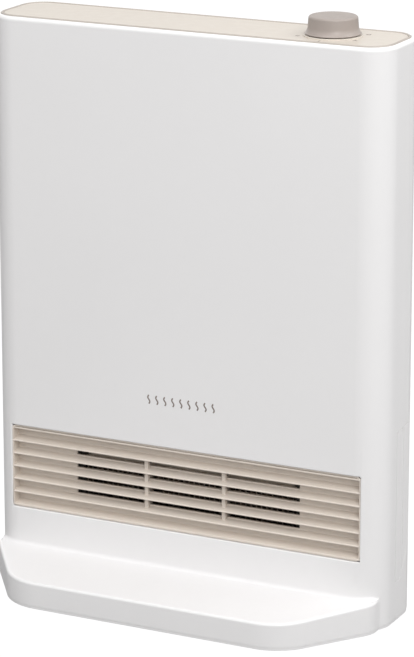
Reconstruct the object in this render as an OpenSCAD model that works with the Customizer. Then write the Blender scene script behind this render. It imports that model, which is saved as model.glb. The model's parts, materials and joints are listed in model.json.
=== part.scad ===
// Slim upright fan convector heater on a forward foot, with a rotary control on top.
// Millimetres: X to the right seen from the front, Y to the back, Z up.
// The origin lies on the floor, at the centre of the whole plan, foot included.

/* [Housing] */
// Width of the housing
body_w = 300; // [290:1:360]
// Depth of the housing without its foot
body_d = 66; // [62:1:80]
// Height of the housing's top rim
body_h = 405; // [330:1:490]
// Radius of the housing's upright corners
corner_r = 20.5; // [16:0.5:24]
// Wall thickness of the mouldings
wall = 2.4; // [1.8:0.1:3]
// Depth of the front housing, up to the joint with the back cover
seam_depth = 56; // [52:1:57]

/* [Foot] */
// How far the foot reaches forward of the front face
foot_reach = 60.5; // [48:0.5:72]
// Height of the foot's front edge
foot_h = 20.4; // [16:0.1:22]
// Height of the crease between the foot and the front face
crease_h = 23.3; // [23:0.1:28]
// Radius of the foot's front corners
foot_r = 38; // [32:1:48]
// Radius of the foot's corners where it meets the sides
foot_side_r = 20; // [14:1:24]
// How far the foot's sides stand inside the body's sides
foot_inset = 3.5; // [2.5:0.5:4.5]
// How far in from the side the foot's front corner arc is centred
foot_corner_in = 66; // [60:1:70]
// Angle of the foot's slanted sides
foot_slant = 54; // [50:1:58]

/* [Base] */
// Thickness of the base plate
base_t = 2.2; // [1.6:0.1:3]
// How far the rubber feet stand below the base plate
foot_pad_h = 1.2; // [0.8:0.1:2]
// Radius of a rubber foot
foot_pad_r = 7; // [5:0.5:9]

/* [Outlet] */
// Width of the outlet opening
outlet_w = 270; // [200:1:270]
// Height of the outlet opening's lower edge
outlet_z = 50.6; // [48:0.1:56]
// Pitch of the outlet louvres
louvre_pitch = 9.5; // [7.8:0.1:10.4]
// Number of channels between louvres
channel_count = 6; // [6:1:6]
// Corner radius of the outlet opening
outlet_r = 3.5; // [2:0.5:6]
// Half width of the open slots
slot_reach = 86.5; // [60:0.5:88]
// Half width of the middle bay, to its rib
rib_x = 30; // [20:0.5:40]
// Width of each of those ribs
rib_w = 3; // [1.8:0.1:4]
// Thickness of a louvre
louvre_t = 1.6; // [1.2:0.1:2]

/* [Top] */
// Distance from the housing's edge to the trim ring
rim_w = 3.1; // [2.6:0.1:4]
// Width of the trim ring
trim_w = 2; // [1.4:0.1:3]
// Thickness of the top panel
panel_t = 2.2; // [1.8:0.1:3]

/* [Control] */
// Distance of the knob from the housing's middle
knob_x = 97.3; // [80:0.1:105]
// Radius of the knob's foot
knob_r = 19; // [18:0.1:20]
// Radius of the knob above its flared foot
neck_r = 17; // [15.5:0.1:17.6]
// Height of the knob
knob_h = 12.1; // [10:0.1:18]
// Radius of the collar under the knob
collar_r = 20.4; // [19.5:0.1:23]
// Radius of the switch shaft
stem_r = 3; // [2.5:0.1:3.5]
// Side of the switch's square body
switch_w = 28; // [24:1:32]

/* [Fan and motor] */
// Radius of the fan wheel
fan_r = 24; // [20:0.5:24]
// Half length of the fan wheel
fan_reach = 83; // [60:1:84]
// Number of fan blades
blade_count = 28; // [18:1:36]
// Height of the fan's axis above the outlet opening
fan_rise = 39.7; // [39:0.1:46]
// Radius of the fan shaft
shaft_r = 2.5; // [2:0.1:3]
// Radius of the motor's rotor
rotor_r = 13.9; // [12:0.1:14]
// Thickness of the motor's iron stack
stack_t = 16; // [12:1:18]

/* [Heating element] */
// Number of fin rows in the element
fin_rows = 4; // [3:1:4]
// Distance between fins
fin_pitch = 4; // [3:0.5:6]
// Thickness of a ceramic heating bar
bar_t = 2.4; // [2:0.1:3]

/* [Cord inlet] */
// Radius of the hole in the cord gland
gland_bore_r = 3.6; // [3:0.1:4.5]
// Distance of the cord gland from the housing's middle
gland_x = 112; // [100:1:118]
// Height of the cord gland
gland_z = 22; // [20:1:26]

/* [Fasteners] */
// Radius of a screw's shank
screw_r = 1.6; // [1.3:0.1:1.8]
// Radius of a screw's head
screw_head_r = 3; // [2.6:0.1:3.2]

/* [Hidden] */
$fn = 72;

// Gap between pieces that are only placed against each other
gap = 0.3;
// Radial running clearance of a shaft in its bearing
running = 0.05;
// Length that a cut runs past the face it opens
past = 1;
// How far a foot arc stands past its flats, so that the two outlines cross cleanly
crossing = 0.02;

// Planes of the housing
total_d = foot_reach + body_d;
foot_y = -total_d / 2;
face_y = foot_y + foot_reach;
back_y = total_d / 2;
seam_y = face_y + seam_depth;
mid_y = face_y + body_d / 2;

// Heights from the floor up
base_z = foot_pad_h;
shell_z = base_z + base_t;
ledge_h = 6;
ledge_t = 2;
ledge_w = 9;
trim_up = 0.8;
panel_z = body_h + 0.3;

// Foot
foot_slope = (crease_h - foot_h) / foot_reach;
foot_arc_x = body_w / 2 - foot_corner_in;
foot_arc_y = foot_y + foot_r;
side_arc_x = body_w / 2 - foot_inset - foot_side_r;
slant_run = (side_arc_x - foot_arc_x) * tan(foot_slant);
side_arc_y = foot_arc_y + slant_run + (foot_side_r - foot_r) / cos(foot_slant);

// Outlet
outlet_h = louvre_pitch * channel_count + 4;
outlet_top = outlet_z + outlet_h;
first_tip = outlet_z + 1.6;
tip_depth = 1.2;
louvre_back = 9;
louvre_rise = 2.4;
louvre_fillet = 1.1;
slot_low = 3.3;
lining_t = 0.9;
frame_t = 1.4;
insert_back = 12;
rib_front = 5.5;
flange_front = 5;
flange_t = 2;
flange_w = 11;
grille_screw_x = body_w / 3;
grille_screw_out = 6.5;

// Recess with flutes low on each side
recess_front = face_y + 27.6;
recess_top = 139;
recess_low = 30;
recess_depth = 1.9;
recess_lap = 1.8;
flute_w = 2;
flute_pitch = 10.6;

// Control
switch_z = body_h - 14;
bracket_t = 1.5;
bracket_w = 46;
bracket_d = 30;
bracket_post = 18;
switch_h = 20;
bush_r = 5;
nut_t = 2.5;
nut_r = 7.5;
knob_z = body_h + 1.6;
knob_top = knob_z + knob_h;
knob_skin = 2.6;
hub_r = 5.6;
stem_top = knob_top - 3.2;
stem_flat = stem_r - 0.8;
collar_z = body_h + 1.1;
off_angle = 31;

// Fan, scroll and duct
fan_y = face_y + 34;
fan_z = outlet_top + fan_rise;
scroll_gap = 3;
scroll_t = 1.8;
scroll_r = fan_r + scroll_gap;
plate_x = fan_reach + 4;
plate_t = 2;
blade_t = 0.8;
blade_d = 6;
blade_tilt = 38;
disc_t = 1.5;
duct_back = face_y + 57;
duct_bend_r = 27;
duct_low = outlet_z + 0.3;
tongue_z = fan_z - 17;
element_y = face_y + insert_back + 1;
element_d = 17;
element_w = plate_x - 1;
element_low = outlet_z + 3;
element_top = outlet_top - 3;
rail_t = 3;

// Motor
motor_x = plate_x + plate_t + 14;
stator_half = 23;
coil_z = fan_z + 42;
limb_t = 8;
coil_half = 13;
coil_out = 6;
bracket_gap = 5;
bracket_sheet = 1.5;
bearing_r = 5;
motor_screw_out = 19;
shaft_left = -(plate_x + 10);
shaft_right = motor_x + stack_t + bracket_gap + 8;

// Heating element
fin_t = 0.5;
fin_low = element_low + rail_t;
fin_high = element_top - rail_t;
bar_count = fin_rows - 1;
row_h = (fin_high - fin_low - bar_count * bar_t) / fin_rows;
fin_reach = element_w - 4;
tab_w = 6.4;
tab_t = 0.8;

// Screws that join the housing
post_x = body_w / 2 - 19;
post_r = 4.2;
post_heights = [30, fan_z + 82, body_h - 25];
base_screw_r = 1.6;
base_posts = [
    [-90, foot_y + 22], [90, foot_y + 22], [-118, face_y + 46], [72, face_y + 46]
];
pad_places = [
    [-82, foot_y + 12], [82, foot_y + 12], [-132, back_y - 16], [132, back_y - 16]
];

// Tip-over switch
tip_x = -106;
tip_y = face_y + 24;
tip_body_z = shell_z + 6;
tip_r = 2.2;
tip_travel = 4;
tip_wire = 0.35;

// Back cover
intake_rows = 15;
intake_pitch = 7;
intake_h = 3.2;
intake_low = fan_z - 20;
intake_w = 58;
intake_step = 66;
grip_w = 92;
grip_h = 26;
grip_z = body_h - 62;
grip_d = 20;

// Cord gland
gland_flange_r = 8;
gland_neck_r = 6;
gland_in = 16;

// Leads from the terminal block to the control
lead_r = 1.3;
lead_x = body_w / 2 - 8;
lead_y = face_y + 50;

// ---------------------------------------------------------------- helpers

// Extrudes a profile drawn in Y and Z along X
module along_x(x0, x1) {
    translate([x0, 0, 0]) rotate([90, 0, 90]) linear_extrude(x1 - x0) children();
}

// Extrudes a profile drawn in X and Z along Y
module along_y(y0, y1) {
    translate([0, y1, 0]) rotate([90, 0, 0]) linear_extrude(y1 - y0) children();
}

module on_both_sides() {
    for (side = [0, 1]) mirror([side, 0, 0]) children();
}

// Rectangle with rounded corners between two corner points
module rounded_rect(x0, y0, x1, y1, r) {
    translate([x0 + r, y0]) square([x1 - x0 - 2 * r, y1 - y0]);
    translate([x0, y0 + r]) square([x1 - x0, y1 - y0 - 2 * r]);
    for (x = [x0 + r, x1 - r], y = [y0 + r, y1 - r]) translate([x, y]) circle(r);
}

// Plan of the housing without its foot
module body_plan(inset) {
    w = body_w / 2 - inset;
    rounded_rect(-w, face_y + inset, w, back_y - inset, corner_r - inset);
}

// Ring of the housing's plan between two insets
module body_ring(outer, inner) {
    difference() {
        body_plan(outer);
        body_plan(inner);
    }
}

// Everything in front of, or behind, a plane across the housing
module before(y) {
    translate([-body_w, y - 2 * total_d]) square([2 * body_w, 2 * total_d]);
}

module beyond(y) {
    translate([-body_w, y]) square([2 * body_w, 2 * total_d]);
}

// Right half of the foot's plan: front corner arc, slanted side, side arc
module half_foot_plan(inset) {
    r1 = foot_r - inset - crossing;
    r2 = foot_side_r - inset - crossing;
    polygon([
        [-past, foot_arc_y - r1],
        [foot_arc_x, foot_arc_y - r1],
        [foot_arc_x + r1 * sin(foot_slant), foot_arc_y - r1 * cos(foot_slant)],
        [side_arc_x + r2 * sin(foot_slant), side_arc_y - r2 * cos(foot_slant)],
        [side_arc_x + r2, side_arc_y],
        [side_arc_x + r2, mid_y],
        [-past, mid_y]
    ]);
    intersection() {
        union() {
            translate([foot_arc_x, foot_arc_y]) circle(r1 + crossing);
            translate([side_arc_x, side_arc_y]) circle(r2 + crossing);
        }
        before(mid_y);
    }
}

// Plan of the foot and of the housing above it, up to the middle of its depth
module foot_plan(inset) {
    on_both_sides() half_foot_plan(inset);
}

// Solid of the foot, lowered and shrunk by the inset
module foot_solid(inset) {
    reach_back = face_y + corner_r + 1;
    intersection() {
        linear_extrude(2 * crease_h) intersection() {
            foot_plan(inset);
            before(reach_back);
        }
        along_x(-body_w, body_w) polygon([
            [foot_y - past, -past],
            [foot_y - past, foot_h - inset - foot_slope * past],
            [reach_back, crease_h - inset + foot_slope * (reach_back - face_y)],
            [reach_back, -past]
        ]);
    }
}

// Screw pointing along +Z with its head's underside at the origin
module screw(length) {
    cylinder(h = length, r = screw_r);
    difference() {
        translate([0, 0, -2]) cylinder(h = 2, r = screw_head_r);
        for (turn = [0, 90]) rotate(turn) translate([-2, -0.35, -2 - past]) cube([4, 0.7, 1.2 + past]);
    }
}

// Lead with round ends between two points
module lead_run(a, b) {
    hull() for (end = [a, b]) translate(end) sphere(lead_r, $fn = 8);
}

// Outline of the outlet opening, grown by a margin
module outlet_outline(margin) {
    rounded_rect(
        -outlet_w / 2 - margin, outlet_z - margin,
        outlet_w / 2 + margin, outlet_top + margin,
        outlet_r + margin
    );
}

// Profile of the recess low on the housing's side, in Y and Z, grown by a margin
module recess_profile(margin) {
    far_y = seam_y - 2 + margin;
    polygon([
        [recess_front - margin, recess_low - margin],
        [recess_front + 8, recess_low - margin],
        [far_y, recess_low + 27 - margin],
        [far_y, recess_top + 1 + margin],
        [recess_front - margin, recess_top - 1.5 + margin]
    ]);
}

// Band of the side wall between two insets, as tall as the recess
module side_band(outer, inner, y0, y1) {
    linear_extrude(2 * recess_top) intersection() {
        body_ring(outer, inner);
        before(y1);
        beyond(y0);
    }
}

module grille_screw_places() {
    for (x = [-grille_screw_x, grille_screw_x],
        z = [outlet_z - grille_screw_out, outlet_top + grille_screw_out]) {
        translate([x, 0, z]) children();
    }
}

module post_places() {
    for (x = [-post_x, post_x], z = post_heights) translate([x, 0, z]) children();
}

// ---------------------------------------------------------------- housing

module front_shell() {
    difference() {
        union() {
            translate([0, 0, shell_z]) linear_extrude(body_h - shell_z) intersection() {
                body_plan(0);
                before(seam_y);
            }
            translate([0, 0, shell_z]) foot_solid_up();
        }
        translate([0, 0, -past]) linear_extrude(body_h + 2 * past) intersection() {
            body_plan(wall);
            before(seam_y + past);
        }
        foot_solid(wall);
        along_y(face_y - past, face_y + wall + past) outlet_outline(0);
        intersection() {
            on_both_sides() along_x(body_w / 4, body_w) recess_profile(0);
            side_band(-past, recess_depth, recess_front, seam_y);
        }
    }
}

// The foot's outer solid, cut off at the housing's lower edge
module foot_solid_up() {
    translate([0, 0, -shell_z]) difference() {
        foot_solid(0);
        translate([-body_w, -total_d, -past]) cube([2 * body_w, 2 * total_d, shell_z + past]);
    }
}

module front_housing() {
    color("whitesmoke") {
        front_shell();
        intersection() {
            on_both_sides() along_x(body_w / 4, body_w) recess_profile(recess_lap);
            side_band(recess_depth, recess_depth + wall, recess_front - recess_lap, seam_y);
        }
        intersection() {
            on_both_sides() along_x(body_w / 4, body_w) recess_profile(0);
            for (i = [1, 2]) {
                y = recess_front + i * flute_pitch;
                side_band(0.4, recess_depth + 0.1, y - flute_w / 2, y + flute_w / 2);
            }
        }
        // Ledge that the top panel and the trim ring sit on
        translate([0, 0, body_h - ledge_h - ledge_t]) linear_extrude(ledge_t) intersection() {
            body_ring(wall / 2, ledge_w);
            before(seam_y);
        }
        housing_posts();
        grille_bosses();
        base_bosses();
    }
}

// Screw posts that the back cover is fixed to
module housing_posts() {
    difference() {
        intersection() {
            post_places() rotate([-90, 0, 0]) translate([0, 0, face_y + past])
                cylinder(h = seam_depth - past - 4, r = post_r);
            linear_extrude(body_h - ledge_h) body_plan(past);
        }
        post_places() rotate([-90, 0, 0]) translate([0, 0, seam_y - 4 - 16])
            cylinder(h = 16 + past, r = screw_r);
    }
}

module grille_bosses() {
    difference() {
        grille_screw_places() rotate([-90, 0, 0]) translate([0, 0, face_y + wall / 2]) {
            cylinder(h = flange_front - wall / 2, r = 3.4);
        }
        grille_screw_places() rotate([-90, 0, 0]) translate([0, 0, face_y + 1.4]) {
            cylinder(h = flange_front, r = screw_r);
        }
    }
}

// Posts under the foot and along the back that the base plate is screwed to
module base_bosses() {
    for (place = [base_posts[0], base_posts[1]]) {
        translate([place[0], place[1], shell_z]) difference() {
            cylinder(h = foot_h - wall / 2 + foot_slope * (place[1] - foot_y) - shell_z, r = 4);
            translate([0, 0, -past]) cylinder(h = 10 + past, r = base_screw_r);
        }
    }
}

module back_cover() {
    color("whitesmoke") {
        difference() {
            translate([0, 0, shell_z]) linear_extrude(body_h - shell_z) intersection() {
                body_plan(0);
                beyond(seam_y);
            }
            translate([0, 0, -past]) linear_extrude(body_h + 2 * past) intersection() {
                body_plan(wall);
                before(back_y - wall);
            }
            intake_slots();
            along_y(back_y - wall - past, back_y + past) translate([gland_x, gland_z]) circle(gland_neck_r);
            along_y(back_y - wall - past, back_y + past) grip_outline(0);
            post_places() rotate([-90, 0, 0]) translate([0, 0, seam_y])
                cylinder(h = body_d, r = screw_head_r + 0.6);
        }
        tongue();
        grip_pocket();
        cover_posts();
        rear_base_bosses();
        translate([0, 0, body_h - ledge_h - ledge_t]) linear_extrude(ledge_t) intersection() {
            body_ring(wall / 2, ledge_w);
            beyond(seam_y);
        }
    }
}

// Horizontal intake slots in three columns
module intake_slots() {
    for (column = [-1, 0, 1], row = [0 : intake_rows - 1]) {
        x = column * intake_step;
        z = intake_low + row * intake_pitch;
        along_y(back_y - wall - past, back_y + past) {
            rounded_rect(x - intake_w / 2, z, x + intake_w / 2, z + intake_h, intake_h / 2 - 0.01);
        }
    }
}

// Tongue that laps inside the front housing's edge
module tongue() {
    lap = 3;
    difference() {
        translate([0, 0, recess_top + 8]) linear_extrude(body_h - ledge_h - ledge_t - gap - recess_top - 8) {
            intersection() {
                body_ring(wall + 0.2, wall + 1.6);
                beyond(seam_y - lap);
                before(seam_y + lap);
            }
        }
        post_places() rotate([-90, 0, 0]) translate([0, 0, seam_y - 10]) cylinder(h = 20, r = post_r + gap);
    }
    difference() {
        translate([0, 0, recess_top + 8]) linear_extrude(body_h - ledge_h - ledge_t - gap - recess_top - 8) {
            intersection() {
                body_ring(wall / 2, wall + 1);
                beyond(seam_y + 0.5);
                before(seam_y + lap);
            }
        }
        post_places() rotate([-90, 0, 0]) translate([0, 0, seam_y - 10]) cylinder(h = 20, r = post_r + gap);
    }
}

module grip_outline(margin) {
    rounded_rect(
        -grip_w / 2 - margin, grip_z - margin,
        grip_w / 2 + margin, grip_z + grip_h + margin,
        grip_h / 2 + margin - 0.01
    );
}

// Hand grip: a pocket moulded into the back cover
module grip_pocket() {
    difference() {
        along_y(back_y - grip_d - wall, back_y - wall / 2) grip_outline(wall);
        along_y(back_y - grip_d, back_y + past) grip_outline(0);
    }
}

// Tubes that hold the housing screws, seated on the front housing's posts
module cover_posts() {
    seat = seam_y - 4 + gap;
    difference() {
        intersection() {
            post_places() rotate([-90, 0, 0]) translate([0, 0, seat])
                cylinder(h = back_y - wall / 2 - seat, r = post_r);
            linear_extrude(body_h - ledge_h) body_plan(past);
        }
        post_places() rotate([-90, 0, 0]) {
            translate([0, 0, seat - past]) cylinder(h = body_d, r = screw_r + 0.1);
            translate([0, 0, seat + 3]) cylinder(h = body_d, r = screw_head_r + 0.6);
        }
    }
}

module rear_base_bosses() {
    for (place = [base_posts[2], base_posts[3]]) {
        translate([place[0], place[1], shell_z]) difference() {
            union() {
                cylinder(h = 14, r = 4);
                translate([-1, 0, 0]) cube([2, back_y - wall / 2 - place[1], 14]);
            }
            translate([0, 0, -past]) cylinder(h = 10 + past, r = base_screw_r);
        }
    }
}

module base_plate() {
    color("whitesmoke") difference() {
        union() {
            translate([0, 0, base_z]) linear_extrude(base_t) intersection() {
                union() {
                    foot_plan(gap);
                    body_plan(gap);
                }
                before(back_y);
            }
            translate([0, 0, shell_z]) linear_extrude(3) difference() {
                intersection() {
                    foot_plan(wall + gap);
                    before(face_y + 12);
                }
                foot_plan(2 * wall);
                beyond(face_y);
            }
        }
        for (place = pad_places) translate([place[0], place[1], base_z - past]) {
            cylinder(h = past + 0.8, r = foot_pad_r);
        }
        for (place = base_posts) translate([place[0], place[1], base_z - past]) {
            cylinder(h = base_t + 2 * past, r = base_screw_r + 0.2);
        }
        for (place = base_posts) translate([place[0], place[1], base_z - past]) {
            cylinder(h = past + 1.2, r = screw_head_r + 0.4);
        }
        translate([tip_x, tip_y, 0]) cylinder(h = 20, r = tip_r + 0.4);
    }
}

module rubber_feet() {
    color("dimgray") for (place = pad_places) translate([place[0], place[1], 0]) {
        cylinder(h = foot_pad_h + 0.8, r = foot_pad_r);
    }
}

module top_trim_ring() {
    color("tan") translate([0, 0, body_h - ledge_h]) linear_extrude(ledge_h + trim_up) {
        body_ring(rim_w + 0.1, rim_w + trim_w);
    }
}

module top_panel() {
    edge = rim_w + trim_w + 0.2;
    post_low = switch_z + bracket_t;
    color("linen") difference() {
        union() {
            translate([0, 0, panel_z - panel_t]) linear_extrude(panel_t) body_plan(edge);
            translate([0, 0, body_h - ledge_h]) linear_extrude(ledge_h - panel_t) body_ring(edge, edge + 1.8);
            for (x = [-bracket_post, bracket_post]) translate([knob_x + x, mid_y, post_low]) {
                cylinder(h = panel_z - panel_t / 2 - post_low, r = 3.4);
            }
        }
        translate([knob_x, mid_y, body_h - ledge_h]) cylinder(h = 20, r = hub_r + 2);
        for (x = [-bracket_post, bracket_post]) translate([knob_x + x, mid_y, post_low - past]) {
            cylinder(h = 8 + past, r = screw_r);
        }
    }
}

// ---------------------------------------------------------------- control

module knob_collar() {
    color("linen") translate([knob_x, mid_y, 0]) rotate_extrude() difference() {
        translate([hub_r + 1.6, panel_z]) square([collar_r - hub_r - 1.6, collar_z - panel_z]);
        translate([hub_r + 3, panel_z + 0.6]) square([knob_r - hub_r - 4, 3]);
    }
}

module control_knob() {
    edge_r = 1.6;
    crown_r = neck_r - 0.4;
    foot_lip = 0.4;
    flare_h = 4.9;
    flare_w = knob_r - neck_r;
    flare_r = (flare_h * flare_h + flare_w * flare_w) / (2 * flare_w);
    color("rosybrown") translate([knob_x, mid_y, 0]) difference() {
        rotate_extrude() {
            difference() {
                polygon([
                    [0, knob_z], [knob_r, knob_z], [knob_r, knob_z + foot_lip],
                    [neck_r, knob_z + foot_lip + flare_h], [crown_r, knob_top - edge_r],
                    [crown_r - edge_r, knob_top - edge_r], [crown_r - edge_r, knob_top], [0, knob_top]
                ]);
                translate([neck_r + flare_r, knob_z + foot_lip + flare_h]) circle(flare_r);
            }
            translate([crown_r - edge_r, knob_top - edge_r]) circle(edge_r);
        }
        rotate_extrude() difference() {
            translate([0, knob_z - past]) square([neck_r - knob_skin, knob_h - knob_skin + past]);
            translate([0, knob_z]) square([hub_r, knob_h]);
        }
        difference() {
            translate([0, 0, knob_z - past]) cylinder(h = stem_top - knob_z + past, r = stem_r);
            rotate(off_angle) translate([-stem_r, stem_flat, 0]) cube([2 * stem_r, stem_r, body_h * 2]);
        }
        rotate(off_angle) translate([neck_r - 6.5, -0.5, knob_top - 0.5]) cube([4, 1, past]);
    }
}

module switch_shaft() {
    color("silver") translate([knob_x, mid_y, 0]) difference() {
        union() {
            translate([0, 0, switch_z - 12]) cylinder(h = stem_top - switch_z + 12, r = stem_r);
            translate([0, 0, switch_z - 12]) cylinder(h = 3, r = stem_r + 4);
        }
        rotate(off_angle) translate([-stem_r, stem_flat, knob_z - past])
            cube([2 * stem_r, stem_r, 2 * knob_h]);
    }
}

module rotary_switch() {
    color("saddlebrown") translate([knob_x, mid_y, 0]) difference() {
        union() {
            translate([-switch_w / 2, -switch_w / 2, switch_z - switch_h])
                cube([switch_w, switch_w, switch_h - gap]);
            translate([0, 0, switch_z - past]) cylinder(h = 7, r = bush_r);
        }
        translate([0, 0, switch_z - 12 - gap]) cylinder(h = 3 + 2 * gap, r = stem_r + 4 + gap);
        translate([0, 0, switch_z - 10]) cylinder(h = 20, r = stem_r + running);
    }
}

module switch_terminals() {
    color("goldenrod") for (i = [-1.5 : 1 : 1.5]) {
        translate([knob_x + i * 7 - tab_t / 2, mid_y - tab_w / 2, switch_z - switch_h - 9])
            cube([tab_t, tab_w, 9]);
    }
}

module switch_nut() {
    color("silver") translate([knob_x, mid_y, switch_z + bracket_t]) difference() {
        cylinder(h = nut_t, r = nut_r, $fn = 6);
        translate([0, 0, -past]) cylinder(h = nut_t + 2 * past, r = bush_r);
    }
}

module switch_bracket() {
    color("silver") translate([knob_x, mid_y, switch_z]) difference() {
        translate([-bracket_w / 2, -bracket_d / 2, 0]) cube([bracket_w, bracket_d, bracket_t]);
        translate([0, 0, -past]) cylinder(h = bracket_t + 2 * past, r = bush_r);
        for (x = [-bracket_post, bracket_post]) translate([x, 0, -past]) {
            cylinder(h = bracket_t + 2 * past, r = screw_r);
        }
    }
}

module switch_screws() {
    color("silver") for (x = [-bracket_post, bracket_post]) {
        translate([knob_x + x, mid_y, switch_z]) screw(8);
    }
}

// ---------------------------------------------------------------- outlet

// Side view of one louvre: a rounded tip and a shelf that curves up into the back wall
module louvre_profile(tip_z) {
    y0 = face_y + tip_depth;
    y1 = face_y + louvre_back;
    slope = atan((louvre_rise - louvre_t / 4) / (y1 - y0));
    arc_y = y1 - louvre_fillet;
    arc_z = tip_z + louvre_t / 4 + (arc_y - y0) * tan(slope) + louvre_fillet / cos(slope);
    difference() {
        polygon([
            [y0, tip_z - louvre_t / 2], [y0, tip_z + louvre_t / 4],
            [arc_y + louvre_fillet * sin(slope), arc_z - louvre_fillet * cos(slope)], [y1, arc_z],
            [y1, tip_z + louvre_rise - louvre_t]
        ]);
        translate([arc_y, arc_z]) circle(louvre_fillet, $fn = 64);
    }
    translate([y0 + louvre_t / 4, tip_z - louvre_t / 8]) circle(louvre_t * 0.375, $fn = 24);
}

module outlet_grille() {
    hold = outlet_w / 2 - gap;
    color("bisque") {
        // Frame that lines the opening
        along_y(face_y + tip_depth, face_y + insert_back) difference() {
            outlet_outline(-gap);
            outlet_outline(-gap - lining_t);
        }
        // Flange behind the front wall
        difference() {
            along_y(face_y + flange_front, face_y + flange_front + flange_t) difference() {
                rounded_rect(
                    -outlet_w / 2 - 3, outlet_z - flange_w,
                    outlet_w / 2 + 3, outlet_top + flange_w, 3
                );
                outlet_outline(-gap - lining_t / 2);
            }
            grille_screw_places() rotate([-90, 0, 0]) translate([0, 0, face_y])
                cylinder(h = 20, r = screw_r + 0.1);
        }
        // Louvres, cut to the opening's rounded outline
        intersection() {
            along_x(-hold, hold) for (i = [0 : channel_count]) louvre_profile(first_tip + i * louvre_pitch);
            along_y(face_y, face_y + insert_back) outlet_outline(-gap);
        }
        // Closed back wall with slots in the four middle channels
        difference() {
            along_y(face_y + louvre_back - 0.1, face_y + louvre_back + frame_t)
                outlet_outline(-gap - lining_t / 2);
            for (i = [1 : channel_count - 2]) {
                translate([-slot_reach, face_y, first_tip + i * louvre_pitch + slot_low]) {
                    cube([2 * slot_reach, insert_back,
                        louvre_pitch + louvre_rise - louvre_t - slot_low - 0.6]);
                }
            }
        }
        // Upright ribs between the bays of slots
        for (x = [-rib_x, rib_x]) {
            along_x(x - rib_w / 2, x + rib_w / 2) translate([face_y + rib_front, first_tip + louvre_pitch]) {
                square([insert_back - rib_front, (channel_count - 2) * louvre_pitch]);
            }
        }
    }
}

module grille_screws() {
    color("silver") grille_screw_places() {
        translate([0, face_y + flange_front + flange_t, 0]) rotate([90, 0, 0]) screw(4.3);
    }
}

// ---------------------------------------------------------------- heating element

module heater_frame() {
    mid = element_y + element_d / 2;
    color("dimgray") difference() {
        along_y(element_y, element_y + element_d) difference() {
            translate([-element_w, element_low]) square([2 * element_w, element_top - element_low]);
            translate([-fin_reach - gap, fin_low]) square([2 * (fin_reach + gap), fin_high - fin_low]);
        }
        for (row = [0 : bar_count - 1]) {
            translate([0, mid - tab_w / 2 - gap, row_low(row) + row_h + bar_t / 2 - 1]) {
                cube([body_w / 2, tab_w + 2 * gap, 2]);
            }
        }
    }
}

function row_low(row) = fin_low + row * (row_h + bar_t);

// Rows of thin upright fins, each row between two cover strips
module heater_fins() {
    strip = 0.6;
    color("silver") for (row = [0 : fin_rows - 1]) {
        low = row_low(row);
        for (z = [low, low + row_h - strip]) {
            translate([-fin_reach, element_y + 1, z]) cube([2 * fin_reach, element_d - 2, strip]);
        }
        for (x = [-fin_reach + 1 : fin_pitch : fin_reach - 1]) {
            translate([x, element_y + 1, low + strip / 2]) cube([fin_t, element_d - 2, row_h - strip]);
        }
    }
}

module ceramic_bars() {
    color("dimgray") for (row = [0 : bar_count - 1]) {
        translate([-fin_reach + 2, element_y + 2, row_low(row) + row_h]) {
            cube([2 * fin_reach - 4, element_d - 4, bar_t]);
        }
    }
}

module heater_terminals() {
    color("goldenrod") for (row = [0 : bar_count - 1]) {
        translate([fin_reach - 2, element_y + element_d / 2 - tab_w / 2,
            row_low(row) + row_h + (bar_t - tab_t) / 2]) {
            cube([plate_x - fin_reach + 13, tab_w, tab_t]);
        }
    }
}

// ---------------------------------------------------------------- fan

// Front wall of the scroll: an arc round the fan, then a straight fall to the element
module scroll_profile() {
    intersection() {
        translate([fan_y, fan_z]) difference() {
            circle(scroll_r + scroll_t);
            circle(scroll_r);
        }
        translate([fan_y - 2 * scroll_r, fan_z]) square([2 * scroll_r - 4, 2 * scroll_r]);
    }
    front = fan_y - scroll_r - scroll_t;
    fall_z = fan_z - 0.6 * fan_r;
    foot_z = element_top + 1 + gap;
    foot_y1 = element_y + element_d - 1;
    polygon([
        [front, fan_z + 0.1], [front + scroll_t, fan_z + 0.1], [front + scroll_t, fall_z],
        [foot_y1, foot_z], [foot_y1 - 2 * scroll_t, foot_z], [front, fall_z]
    ]);
}

module end_plate_profile() {
    difference() {
        union() {
            intersection() {
                translate([fan_y, fan_z]) circle(scroll_r + scroll_t);
                before(duct_back + 3);
            }
            polygon([
                [fan_y - scroll_r - scroll_t, fan_z], [element_y + 4, element_top + 6],
                [element_y, element_top + 6], [element_y, duct_low],
                [duct_back - duct_bend_r, duct_low], [duct_back, duct_low + duct_bend_r],
                [duct_back, fan_z]
            ]);
        }
        translate([fan_y, fan_z]) circle(8);
        for (row = [0 : bar_count - 1]) {
            translate([element_y + element_d / 2 - 4.5, row_low(row) + row_h - 1]) square([9, bar_t + 2]);
        }
    }
}

module fan_scroll() {
    color("gainsboro") difference() {
        union() {
            along_x(-plate_x - 0.1, plate_x + 0.1) scroll_profile();
            for (x = [-plate_x - plate_t, plate_x]) along_x(x, x + plate_t) end_plate_profile();
        }
        for (y = [-motor_screw_out, motor_screw_out]) {
            translate([plate_x - past, fan_y + y, fan_z]) rotate([0, 90, 0]) cylinder(h = 5, r = screw_r);
        }
    }
}

// Back wall of the duct: from the tongue behind the fan down and forward
module duct_profile() {
    bend = [duct_back - duct_bend_r, duct_low + duct_bend_r];
    translate([duct_back - scroll_t, bend[1]]) square([scroll_t, tongue_z - bend[1]]);
    translate([duct_back - scroll_t / 2 - 0.6, tongue_z]) circle(scroll_t / 2 + 0.6, $fn = 24);
    intersection() {
        translate(bend) difference() {
            circle(duct_bend_r);
            circle(duct_bend_r - scroll_t);
        }
        translate([bend[0], bend[1] - duct_bend_r]) square(duct_bend_r);
    }
    translate([element_y + 1, duct_low]) square([bend[0] - element_y - 1, scroll_t]);
}

module outlet_duct() {
    color("gainsboro") along_x(-plate_x + 0.2, plate_x - 0.2) duct_profile();
}

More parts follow.
